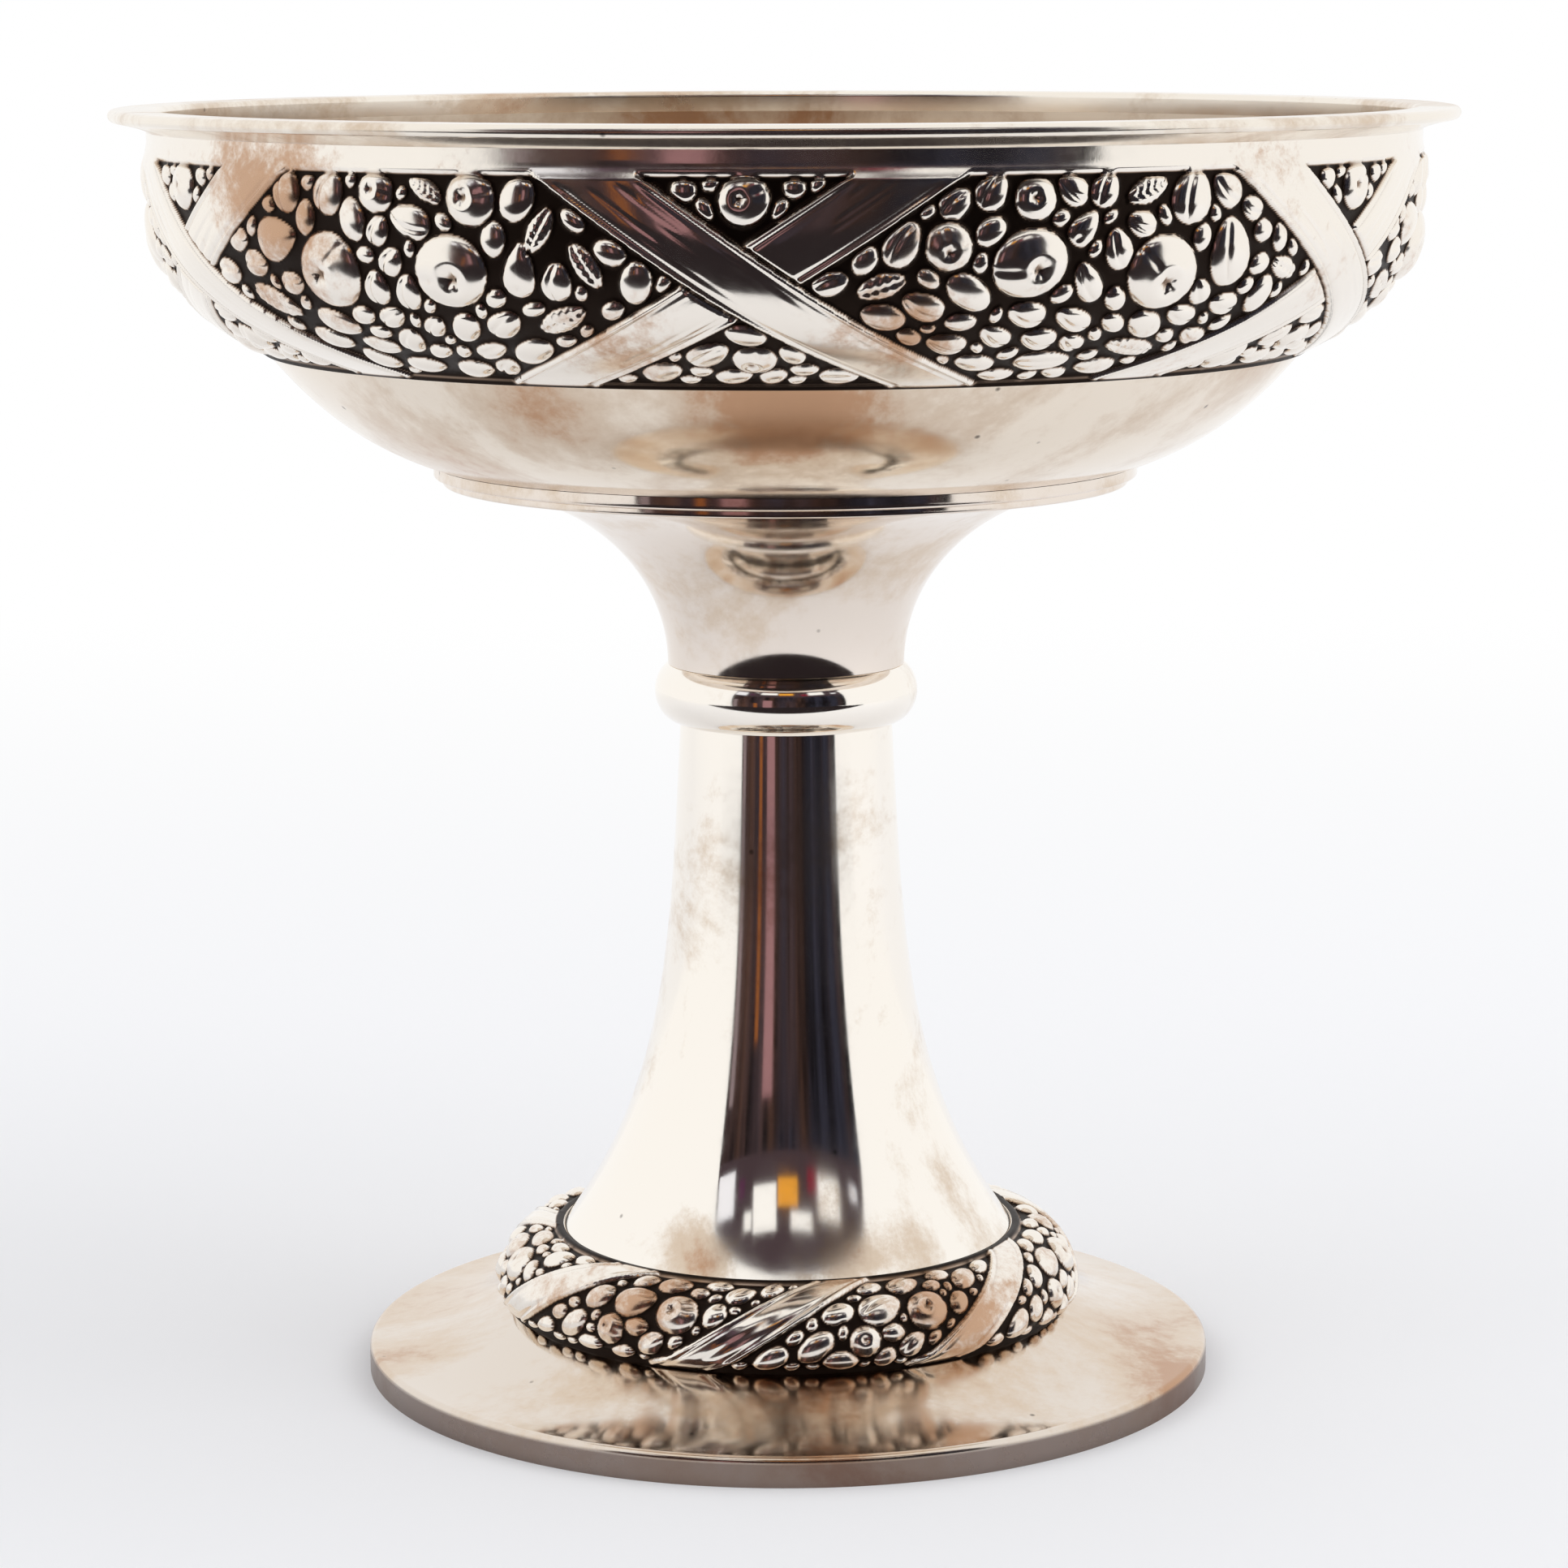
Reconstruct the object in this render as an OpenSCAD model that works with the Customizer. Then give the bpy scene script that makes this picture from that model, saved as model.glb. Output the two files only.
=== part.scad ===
// Footed compote bowl in silver-plated brass: a wide bowl with a chased band, on a trumpet stem
// with a knop, over a dished foot with a chased collar.
// Every piece but the hexagon nut is turned about the vertical axis, and the bowl's band has its
// crossing ribbons and main fruit raised on it. The pieces stand on one another, and one tie rod
// from the foot to a boss under the bowl pulls the stack together.

/* [Foot] */
// Radius of the foot at the table
foot_r = 81.3; // [74:0.1:92]
// Height of the foot's edge, up to where its slope begins
foot_edge_h = 5.6; // [4.5:0.1:8]
// Radius of the rounding on top of the edge
foot_edge_round = 1.2; // [0.8:0.1:2.4]
// Rise of the foot plate from its edge to the collar's seat
foot_rise = 7; // [4:0.1:10]
// Sheet thickness of the foot plate
foot_wall = 1.4; // [1:0.1:2.4]
// Width of the wire soldered inside the foot's edge
base_wire_w = 3.2; // [2:0.1:5]
// Height of the wire soldered inside the foot's edge
base_wire_h = 3; // [2:0.1:3.6]

/* [Collar] */
// How far the chased collar stands out from the stem's foot at its widest
collar_w = 13.4; // [11:0.1:18]
// Height of the collar, up to the ledge that carries the stem
collar_h = 14.6; // [11:0.1:20]
// Height above its foot at which the collar is widest
collar_tuck = 2.9; // [2:0.1:4.5]
// How far the collar's crest rises above the ledge, round the stem's mouth
collar_crest = 0.6; // [0.2:0.1:1.5]
// How far the crest lies outside the stem's mouth
collar_crest_w = 2.6; // [1.5:0.1:4]
// Wall of the collar
collar_wall = 2; // [1.6:0.1:2.8]
// Width of the ledges that the collar and the foot plate have inside the stem's mouth
ledge_w = 2; // [1:0.1:4]

/* [Stem] */
// Height of the stem
stem_h = 98.5; // [70:0.1:130]
// Radius of the stem at the knop
stem_top_r = 20.2; // [18:0.1:23]
// Widening of the stem that is spread evenly over its height
stem_taper = 5; // [2:0.1:9]
// Radius of the stem at the collar
stem_foot_r = 43.4; // [38:0.1:47]
// Wall of the stem, measured level
stem_wall = 1.5; // [1:0.1:2.4]

/* [Knop] */
// How far the knop stands out from the top of the stem at its widest
knop_overhang = 4.8; // [4:0.1:8]
// How far the knop's bead stands out from the line that its section turns about
knop_bulge = 5.2; // [4:0.1:6]
// Height of the knop
knop_h = 11.2; // [8:0.1:15]

/* [Funnel] */
// How far the funnel's neck, just above the knop, stands out from the top of the stem
funnel_neck_step = 2.3; // [1.5:0.1:3]
// Radius of the funnel at its mouth
funnel_mouth_r = 63.4; // [61:0.1:65]
// Height of the funnel, up to the underside of its mouth
funnel_h = 34.6; // [26:0.1:44]
// Wall of the funnel
funnel_wall = 1.5; // [1:0.1:2.2]
// How far the funnel's rolled edge stands out past its mouth
funnel_edge = 1.2; // [0.6:0.1:1.6]
// Depth of the funnel's spigot inside the stem
spigot_depth = 8; // [5:0.1:14]

/* [Seat ring] */
// How far the ring between the funnel and the bowl stands out past the funnel's mouth
seat_overhang = 2.9; // [2:0.1:5]

/* [Bowl] */
// Largest radius of the bowl's chased band
bowl_r = 119; // [112:0.1:126]
// Wall of the bowl
bowl_wall = 1.6; // [1.2:0.1:2.4]
// Radius of the plain dish where the band starts
dish_r = 96.7; // [90:0.1:102]
// Rise of the plain dish from its centre to the band
dish_rise = 26.2; // [20:0.1:32]
// Least gap between the dish and the inside of the funnel below it
dish_gap = 0.3; // [0.2:0.05:0.8]
// Height of the band, with the plain strip above it
band_h = 40.7; // [34:0.1:50]
// How far the band stands out from the dish at its lower edge
band_step = 0.8; // [0.4:0.1:1.2]
// Depth of the cove above the band
cove_depth = 0.9; // [0.4:0.1:1.4]

/* [Chasing] */
// Width of the ribbons
ribbon_w = 10.8; // [9:0.1:12]
// How deep the chased ground lies below the plain strips at its edges
relief_depth = 0.9; // [0.7:0.1:1]
// How far the ribbons lie below those strips
ribbon_sink = 0.1; // [0.05:0.01:0.2]
// Radius of the largest apples
apple_r = 7.2; // [6:0.1:8]
// How far the largest apples stand out from the ground
apple_h = 1.2; // [1:0.1:1.5]

/* [Rim] */
// How far the rim stands out from the bowl's neck
rim_overhang = 6.9; // [4:0.1:12]
// Height of the rim moulding above the bowl's wall
rim_h = 4.1; // [3.4:0.1:6]
// Radius of the rounding at the rim's edge
rim_round = 1.15; // [0.9:0.05:1.4]

/* [Fastening] */
// Radius of the tie rod
rod_r = 4; // [3:0.1:5]
// Height of the boss soldered under the bowl
boss_h = 16; // [12:0.1:20]
// Radius of the boss
boss_r = 9; // [7.5:0.1:12]
// Radius of the flange on top of the boss
boss_flange_r = 24; // [18:0.1:30]
// Thickness of the boss's flange and of the foot washer
plate_t = 2; // [1.5:0.1:3]
// How far the foot washer's centre is dished up into the collar
washer_dish = 8; // [5:0.1:11]
// Width of the nut across its flats
nut_flats = 13; // [11:0.1:16]
// Height of the nut
nut_h = 6.5; // [5:0.1:8]
// Length of rod that stands out below the nut
rod_tail = 2; // [1:0.1:3]

/* [Fits] */
// Radial clearance between a spigot or a rod and its hole
fit_gap = 0.15; // [0.1:0.01:0.25]
// Thickness of a solder seam
solder_gap = 0.05; // [0.02:0.01:0.1]

/* [Hidden] */

// Facets of a full turn, and points along a drawn curve
turn_facets = 180;
curve_steps = 28;
round_steps = 8;
relief_steps = 8;

// Powers of the curves, hand-picked from the outline
foot_power = 1.25;
stem_power = 3.8;
dish_power = 4.6;
band_power = 3.9;
// Power of the rim's hollowed underside: below 1, it climbs fastest beside the neck
rim_hollow_power = 0.65;

// Angles at which the knop's section starts and ends, below and above its widest point
knop_low_turn = 80;
knop_high_turn = 61;
// Angle at which the collar's section starts, below its widest point
collar_low_turn = 40;

// Share of the way from the plate's hole to the collar's foot that the washer covers
washer_lap_share = 0.55;
// Share of the washer's radius that its raised centre takes
washer_pad_share = 0.3;
// Shares of the band's height at which the cove starts and reaches its depth
cove_low_share = 0.88;
cove_high_share = 0.96;

// Shares of the band's height at which the chased ground starts and ends
relief_low_share = 0.02;
relief_high_share = 0.9;
// Share of the band's height that a ribbon runs on into the plain strips, to end inside them
ribbon_end_share = 0.01;
// Share of the sheet left under the ground that ribbons and fruit are rooted in
root_share = 0.3;
// Half the share of the band's height over which its lean at a point is taken
near_share = 0.01;

// Number of places round the band where its two ribbons cross
crossings = 6;
// Place of the front crossing: its turn to the right of the front, and share of the band's height
crossing_turn = -3.6;
crossing_share = 0.45;
// Lean of the two ribbons to the left of upright
ribbon_leans = [54, -56];

// Fruit tapers outwards: shares of its radius as deep under the ground as it is high, and on top
fruit_foot_share = 1.15;
fruit_top_share = 0.85;
// Share of the largest apple's height by which the smallest fruit is lower
fruit_drop_share = 0.35;
// Fruit in a field between two crossings: share of the angle from crossing to crossing, counted
// from the field's middle to the right, share of the band's height, and share of apple_r
left_field_shares = [
    [-0.1, 0.79, 0.54], [0, 0.83, 0.44], [0.145, 0.79, 0.65], [-0.22, 0.6, 0.6],
    [-0.105, 0.53, 0.92], [0.105, 0.47, 1], [0.225, 0.54, 0.75], [-0.02, 0.28, 0.46]
];
right_field_shares = [
    [-0.2, 0.82, 0.56], [-0.03, 0.81, 0.54], [0.125, 0.79, 0.67], [-0.23, 0.6, 0.66],
    [-0.125, 0.47, 1], [0.085, 0.49, 0.97], [0.195, 0.5, 0.55], [-0.04, 0.28, 0.39]
];
// Fruit above and below a crossing, counted from the crossing
crossing_fruit_shares = [[0.005, 0.8, 0.62], [0.015, 0.12, 0.55]];

// Heights of the seats, from the table up
collar_z = foot_edge_h + foot_rise;
stem_z = collar_z + collar_h;
knop_z = stem_z + stem_h;
funnel_z = knop_z + knop_h;
seat_z = funnel_z + funnel_h + funnel_wall;

// Radii that follow from neighbours
hole_r = stem_foot_r - stem_wall - ledge_w;
spigot_r = stem_top_r - stem_wall - fit_gap;
spigot_bore_r = spigot_r - funnel_wall;
knop_core_r = stem_top_r + knop_overhang - knop_bulge;
funnel_neck_r = stem_top_r + funnel_neck_step;
seat_r = funnel_mouth_r + seat_overhang;
neck_r = bowl_r - cove_depth;
rim_r = neck_r + rim_overhang;
foot_flat_r = foot_r - foot_edge_round;
collar_r = stem_foot_r + collar_w;
collar_core_r = stem_foot_r + collar_crest_w;
collar_foot_r = collar_core_r + (collar_r - collar_core_r) * cos(collar_low_turn);

// Height of the dish's centre: as low as the funnel's inside allows at any radius
dish_z = max([for (i = [0 : curve_steps])
    let (r = funnel_neck_r + (seat_touch_r() - funnel_neck_r) * i / curve_steps)
    funnel_top(r) + dish_gap - dish_lift(r)]);
bowl_top_z = dish_z + dish_rise + band_h;
washer_z = collar_z - foot_wall - plate_t;
nut_z = washer_z + washer_dish - nut_h;
boss_z = dish_z - boss_h;

// Height of the dish above its centre at a radius
function dish_lift(r) = dish_rise * pow(r / dish_r, dish_power);

// Inner radius of the seat ring: the ring sits over the funnel's rolled mouth
function seat_touch_r() = funnel_mouth_r - funnel_wall - ledge_w;

// Height of the funnel's inside at a radius between its neck and its mouth
function funnel_top(r) =
    let (inner_w = funnel_mouth_r - funnel_neck_r + funnel_wall)
    funnel_z + (funnel_h + funnel_wall) * sqrt(1 - pow((funnel_mouth_r - r) / inner_w, 2));

// Points along an ellipse's arc about a centre
function arc(centre, half, from, to, steps) =
    [for (i = [0 : steps])
        let (a = from + (to - from) * i / steps)
        centre + [half.x * cos(a), half.y * sin(a)]];

// The same points in the other order
function reverse(line) = [for (i = [len(line) - 1 : -1 : 0]) line[i]];

// Unit vector to the left of a line at one of its points
function left_of(line, i) =
    let (
        before = line[max(i - 1, 0)],
        after = line[min(i + 1, len(line) - 1)],
        run = after - before
    )
    [-run.y, run.x] / norm(run);

// A line moved to its left by a depth
function inset(line, depth) =
    [for (i = [0 : len(line) - 1]) line[i] + depth * left_of(line, i)];

// A polygon of radius and height, turned about the vertical axis
module turned(outline) {
    rotate_extrude($fn = turn_facets) polygon(outline);
}

// Height of the foot plate's top at a radius: it climbs faster towards the collar
function plate_top(r) =
    foot_edge_h + foot_rise * pow((foot_flat_r - r) / (foot_flat_r - collar_foot_r), foot_power);

// Top of the foot plate, from its edge in to the collar
foot_slope = [for (i = [0 : curve_steps])
    let (r = foot_flat_r + (collar_foot_r - foot_flat_r) * i / curve_steps)
    [r, plate_top(r)]];

module foot_plate() {
    round_centre = [foot_flat_r, foot_edge_h - foot_edge_round];
    top = concat(
        [[foot_r, 0]],
        arc(round_centre, [foot_edge_round, foot_edge_round], 0, 90, round_steps),
        [for (i = [1 : curve_steps]) foot_slope[i]],
        [[hole_r, collar_z]]
    );
    // The underside is the slope let down by the sheet, cut off at the edge's own wall
    under = concat(
        [[hole_r, collar_z - foot_wall]],
        [for (p = reverse(foot_slope)) if (p.x < foot_r - foot_wall) [p.x, p.y - foot_wall]],
        [[foot_r - foot_wall, foot_edge_h - foot_edge_round], [foot_r - foot_wall, 0]]
    );
    color("#b9b2a6") turned(concat(top, under));
}

module base_wire() {
    outer_r = foot_r - foot_wall - solder_gap;
    color("#a89f90") turned([
        [outer_r - base_wire_w, 0],
        [outer_r, 0],
        [outer_r, base_wire_h],
        [outer_r - base_wire_w, base_wire_h]
    ]);
}

module foot_collar() {
    centre = [collar_core_r, collar_z + collar_tuck];
    half = [collar_r - collar_core_r, collar_h + collar_crest - collar_tuck];
    low_half = [half.x, collar_tuck / sin(collar_low_turn)];
    wall = [collar_wall, collar_wall];
    recess_r = stem_foot_r + fit_gap;
    recess_turn = 90 + asin((collar_core_r - recess_r) / half.x);
    color("#8d8578") turned(concat(
        arc(centre, low_half, -collar_low_turn, 0, round_steps),
        [for (i = [1 : curve_steps]) arc(centre, half, 0, recess_turn, curve_steps)[i]],
        [[recess_r, stem_z], [hole_r, stem_z], [hole_r, stem_z - collar_wall]],
        reverse(arc(centre, half - wall, 0, 90, curve_steps)),
        [[collar_foot_r - collar_wall, collar_z]]
    ));
}

// Radius of the stem at a share of its height, from the top down
function stem_radius(t) =
    stem_top_r + stem_taper * t + (stem_foot_r - stem_top_r - stem_taper) * pow(t, stem_power);

module stem() {
    outer = [for (i = [0 : curve_steps])
        let (t = 1 - i / curve_steps)
        [stem_radius(t), stem_z + stem_h * (1 - t)]];
    inner = [for (p = reverse(outer)) [p.x - stem_wall, p.y]];
    color("#cfc9be") turned(concat(outer, inner));
}

module knop() {
    half_h = knop_h / (sin(knop_low_turn) + sin(knop_high_turn));
    centre = [knop_core_r, knop_z + half_h * sin(knop_low_turn)];
    bead = arc(centre, [knop_bulge, half_h], -knop_low_turn, knop_high_turn, curve_steps);
    bore_r = spigot_r + fit_gap;
    color("#c4bdb0") turned(concat(
        [[bore_r, knop_z]],
        bead,
        [[bore_r, funnel_z]]
    ));
}

module funnel() {
    centre = [funnel_mouth_r, funnel_z];
    outer_half = [funnel_mouth_r - funnel_neck_r, funnel_h];
    inner_half = outer_half + [funnel_wall, funnel_wall];
    // The inner curve stops where it meets the floor that carries the spigot
    floor_angle = asin(funnel_wall / inner_half.y);
    edge_centre = [funnel_mouth_r, seat_z - funnel_wall / 2];
    color("#d2ccc1") turned(concat(
        [
            [spigot_bore_r, knop_z - spigot_depth],
            [spigot_r, knop_z - spigot_depth],
            [spigot_r, funnel_z]
        ],
        arc(centre, outer_half, 180, 90, curve_steps),
        arc(edge_centre, [funnel_edge, funnel_wall / 2], -90, 90, round_steps),
        arc(centre, inner_half, 90, 180 - floor_angle, curve_steps),
        [[spigot_bore_r, funnel_z + funnel_wall]]
    ));
}

module seat_ring() {
    inner_r = seat_touch_r();
    thick = dish_z + dish_lift(seat_r) - solder_gap - seat_z;
    edge_centre = [seat_r - thick / 2, seat_z + thick / 2];
    // The top follows the dish's underside, a seam's thickness below it
    top = [for (i = [0 : round_steps])
        let (r = edge_centre.x + (inner_r - edge_centre.x) * i / round_steps)
        [r, dish_z + dish_lift(r) - solder_gap]];
    color("#c9c2b6") turned(concat(
        [[inner_r, seat_z]],
        arc(edge_centre, [thick / 2, thick / 2], -90, 0, round_steps),
        top
    ));
}

// Outline of the plain dish, from its centre out
dish_line = [for (i = [0 : curve_steps])
    let (r = dish_r * i / curve_steps)
    [r, dish_z + dish_lift(r)]];

// Point of the band's outline at a share of its height. The step is how far the band starts
// outside the dish
function band_at(t, step) =
    let (
        low_r = dish_r + step,
        cove_t = (t - cove_low_share) / (cove_high_share - cove_low_share),
        cove = sin(90 * max(0, min(1, cove_t)))
    )
    [
        low_r + (bowl_r - low_r) * (1 - pow(1 - t, band_power)) - cove_depth * cove,
        dish_z + dish_rise + band_h * t
    ];

// Points along the chased band between two shares of its height
function band_line(from, to) =
    [for (i = [0 : relief_steps]) band_at(from + (to - from) * i / relief_steps, band_step)];

module bowl() {
    ground = inset(band_line(relief_low_share, relief_high_share), relief_depth);
    outer = concat(
        dish_line,
        [band_at(0, band_step), band_at(relief_low_share, band_step)],
        ground,
        [for (i = [0 : round_steps])
            band_at(relief_high_share + (1 - relief_high_share) * i / round_steps, band_step)]
    );
    inner = inset(concat(dish_line, [for (i = [1 : curve_steps]) band_at(i / curve_steps, 0)]), bowl_wall);
    // The centre and the top of the inside are set level with the outline's ends
    inside = concat(
        [[0, dish_z + bowl_wall]],
        [for (i = [1 : len(inner) - 2]) inner[i]],
        [[neck_r - bowl_wall, bowl_top_z]]
    );
    color("#beb7ab") {
        turned(concat(outer, reverse(inside)));
        intersection() {
            chased_zone(-ribbon_sink);
            ribbons();
        }
        intersection() {
            chased_zone(apple_h);
            fruit();
        }
    }
}

// Everything between the roots of the relief and a rise above the plain strips
module chased_zone(rise) {
    root = relief_depth + root_share * (bowl_wall - relief_depth);
    line = band_line(relief_low_share - ribbon_end_share, relief_high_share + ribbon_end_share);
    turned(concat(inset(line, root), reverse(inset(line, -rise))));
}

// Places its children on the band, with x out of the wall, y to the right and z up along it
module on_band(turn, t) {
    place = band_at(t, band_step);
    into = left_of(band_line(t - near_share, t + near_share), relief_steps / 2);
    rotate([0, 0, turn - 90]) translate([place.x, 0, place.y])
        rotate([0, atan2(into.y, -into.x), 0]) children();
}

module ribbons() {
    long = 2 * (band_h + ribbon_w);
    for (i = [0 : crossings - 1], lean = ribbon_leans)
        on_band(crossing_turn + i * 360 / crossings, crossing_share)
            rotate([lean, 0, 0]) cube([long, ribbon_w, long], center = true);
}

// One fruit: a low cone with a flat top, turned about the line out of the wall
module one_fruit(size_share) {
    r = apple_r * size_share;
    h = apple_h * (1 - fruit_drop_share * (1 - size_share));
    translate([-relief_depth, 0, 0]) rotate([0, 90, 0])
        cylinder(h = 2 * h, r1 = r * fruit_foot_share, r2 = r * fruit_top_share,
            center = true, $fn = turn_facets);
}

module fruit() {
    field_turn = 360 / crossings;
    for (i = [0 : crossings - 1]) {
        turn = crossing_turn + i * field_turn;
        for (f = i % 2 == 0 ? right_field_shares : left_field_shares)
            on_band(turn + (0.5 + f[0]) * field_turn, f[1]) one_fruit(f[2]);
        for (f = crossing_fruit_shares)
            on_band(turn + f[0] * field_turn, f[1]) one_fruit(f[2]);
    }
}

module rim_moulding() {
    inner_r = neck_r - bowl_wall;
    top_z = bowl_top_z + rim_h;
    round_centre = [rim_r - rim_round, top_z - rim_round];
    edge_low = [rim_r - rim_round, top_z - 2 * rim_round];
    // The underside hollows from the neck out to the rounded edge
    hollow = [for (i = [0 : round_steps])
        let (t = i / round_steps)
        [
            neck_r + (edge_low.x - neck_r) * t,
            bowl_top_z + (edge_low.y - bowl_top_z) * pow(t, rim_hollow_power)
        ]];
    color("#d8d3c9") turned(concat(
        [[inner_r, bowl_top_z]],
        hollow,
        [for (i = [1 : round_steps]) arc(round_centre, [rim_round, rim_round], -90, 90, round_steps)[i]],
        [[inner_r + rim_round, top_z], [inner_r, top_z - rim_round]]
    ));
}

module bowl_boss() {
    bore_r = rod_r + solder_gap;
    color("#b08d57") turned([
        [bore_r, boss_z],
        [boss_r, boss_z],
        [boss_r, dish_z - plate_t],
        [boss_flange_r, dish_z - plate_t],
        [boss_flange_r, dish_z],
        [0, dish_z],
        [0, dish_z - plate_t],
        [bore_r, dish_z - plate_t]
    ]);
}

module tie_rod() {
    low_z = nut_z - rod_tail;
    color("#8f8f8c") translate([0, 0, low_z])
        cylinder(h = dish_z - 2 * plate_t - low_z, r = rod_r, $fn = turn_facets);
}

module foot_washer() {
    outer_r = hole_r + (collar_foot_r - hole_r) * washer_lap_share;
    flat_r = hole_r - plate_t;
    pad_r = outer_r * washer_pad_share;
    bore_r = rod_r + fit_gap;
    color("#9a9a96") turned([
        [bore_r, washer_z + washer_dish],
        [pad_r, washer_z + washer_dish],
        [flat_r, washer_z],
        [outer_r, washer_z],
        [outer_r, washer_z + plate_t],
        [flat_r, washer_z + plate_t],
        [pad_r, washer_z + washer_dish + plate_t],
        [bore_r, washer_z + washer_dish + plate_t]
    ]);
}

module tie_nut() {
    corner_r = nut_flats / 2 / cos(30);
    color("#8a8a86") translate([0, 0, nut_z])
        difference() {
            cylinder(h = nut_h, r = corner_r, $fn = 6);
            translate([0, 0, -fit_gap])
                cylinder(h = nut_h + 2 * fit_gap, r = rod_r + solder_gap, $fn = turn_facets);
        }
}

foot_plate();
base_wire();
foot_collar();
stem();
knop();
funnel();
seat_ring();
bowl();
rim_moulding();
bowl_boss();
tie_rod();
foot_washer();
tie_nut();
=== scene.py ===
# %% [markdown]
# # A footed compote bowl in silver plate
# The bowl is a stack of turned and spun pieces, so most of it is one outline turned about the
# vertical axis. What makes it worth looking at is the finish: mirror silver with tarnish in it,
# and two chased bands whose grooves have gone black. This notebook loads the measured solids
# first, and then gives each piece its own surface, from the foot up.

# %% Load the measured solids
import math

import bpy
import numpy as np
from mathutils import Matrix, Vector


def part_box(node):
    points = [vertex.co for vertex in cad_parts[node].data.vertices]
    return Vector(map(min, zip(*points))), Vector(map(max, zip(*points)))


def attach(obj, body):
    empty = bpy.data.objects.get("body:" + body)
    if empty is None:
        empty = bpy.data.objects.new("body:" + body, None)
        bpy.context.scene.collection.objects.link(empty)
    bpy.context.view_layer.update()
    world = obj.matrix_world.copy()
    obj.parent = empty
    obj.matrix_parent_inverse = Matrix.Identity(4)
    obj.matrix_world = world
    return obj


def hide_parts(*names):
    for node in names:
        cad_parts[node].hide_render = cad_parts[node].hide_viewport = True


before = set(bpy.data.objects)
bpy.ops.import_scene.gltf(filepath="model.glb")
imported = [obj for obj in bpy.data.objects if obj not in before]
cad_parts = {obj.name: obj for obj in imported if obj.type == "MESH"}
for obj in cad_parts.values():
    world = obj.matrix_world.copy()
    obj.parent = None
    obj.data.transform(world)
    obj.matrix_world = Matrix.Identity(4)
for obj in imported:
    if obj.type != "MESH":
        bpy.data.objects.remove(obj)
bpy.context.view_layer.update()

MM = 0.001
low = {name: np.array(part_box(name)[0]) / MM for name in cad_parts}
high = {name: np.array(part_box(name)[1]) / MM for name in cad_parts}

# %% [markdown]
# ## Sizes
# Heights and radii come from the solids, in millimetres, so that every new surface starts where
# its solid is. The few values that a box can't tell, such as a wall or the power of a curve,
# repeat what the solids were drawn with. Only the foot's slope and the edges of the funnel and the
# seat ring differ from them, as the comments there say.

# %% Read the levels and radii
foot_r, knop_r, seat_r = high["foot_plate"][0], high["knop"][0], high["seat_ring"][0]
rim_r, collar_r, stem_foot_r = high["rim_moulding"][0], high["foot_collar"][0], high["stem"][0]
collar_z, stem_z, knop_z = high["foot_plate"][2], low["stem"][2], low["knop"][2]
funnel_z, seat_z, dish_z = high["knop"][2], low["seat_ring"][2], low["bowl"][2]
bowl_top_z, top_z = low["rim_moulding"][2], high["rim_moulding"][2]
print("levels", np.round([collar_z, stem_z, knop_z, funnel_z, seat_z, dish_z, bowl_top_z, top_z], 2))

foot_edge_h, foot_edge_round, foot_wall, foot_power = 5.6, 1.2, 1.4, 2.0
hole_r, ledge_wall = 39.9, 2.0
collar_core_r, collar_tuck, collar_crest, collar_low_turn = 46.0, 2.9, 0.6, 40.0
stem_top_r, stem_taper, stem_wall, stem_power = 20.2, 5.0, 1.5, 3.8
knop_core_r, knop_low_turn, knop_high_turn, knop_bore_r = 19.8, 80.0, 61.0, 18.7
funnel_neck_r, funnel_mouth_r, funnel_h, funnel_wall = 22.5, 63.4, 34.6, 1.5
funnel_edge, edge_round, spigot_r, spigot_depth, ring_lap = 1.2, 0.35, 18.55, 8.0, 2.0
dish_r, dish_rise, dish_power = 96.7, 26.2, 4.6
bowl_r, band_h, band_step, band_power, bowl_wall = 119.0, 40.7, 0.8, 3.9, 1.6
cove_depth, cove_low_share, cove_high_share = 0.9, 0.88, 0.96
rim_round, rim_hollow_power, seam = 1.15, 0.65, 0.05
neck_r = bowl_r - cove_depth

# %% [markdown]
# ## Turning an outline into a mesh
# A lathe piece is a function of two parameters: how far along the outline, and how far round the
# axis. Worked out as one grid of points it needs no modifier, and the same few functions serve
# every turned piece, and the chased ones too.

# %% Outlines
def arc(centre, half, start, end, steps):
    """Points of an ellipse's arc: centre plus half the axes times the cosine and sine of the angle."""
    angle = np.radians(np.linspace(start, end, steps + 1))
    return np.array(centre) + np.stack([half[0] * np.cos(angle), half[1] * np.sin(angle)], axis=1)


def join(*lines):
    """One outline out of several lines or single points, without the points that repeat."""
    line = np.concatenate([np.atleast_2d(np.array(part, float)) for part in lines])
    step = np.linalg.norm(np.diff(line, axis=0), axis=1)
    return line[np.concatenate([[True], step > 1e-6])]


def run_length(line):
    """The length of the outline from its start to each of its points."""
    return np.concatenate([[0], np.cumsum(np.linalg.norm(np.diff(line, axis=0), axis=1))])


def points_at(line, places):
    """Points of the outline at given lengths along it."""
    return np.stack([np.interp(places, run_length(line), line[:, k]) for k in (0, 1)], axis=1)


def dense(line, step):
    """The outline with extra points on long straights, so that shading stays true beside a curve."""
    length = run_length(line)
    counts = np.maximum(1, np.ceil(np.diff(length) / step).astype(int))
    places = [a + (b - a) * np.arange(n) / n for a, b, n in zip(length, length[1:], counts)]
    return points_at(line, np.append(np.concatenate(places), length[-1]))


def even(line, count):
    """The outline as a count of points, spread evenly along it."""
    return points_at(line, np.linspace(0, run_length(line)[-1], count))


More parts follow.
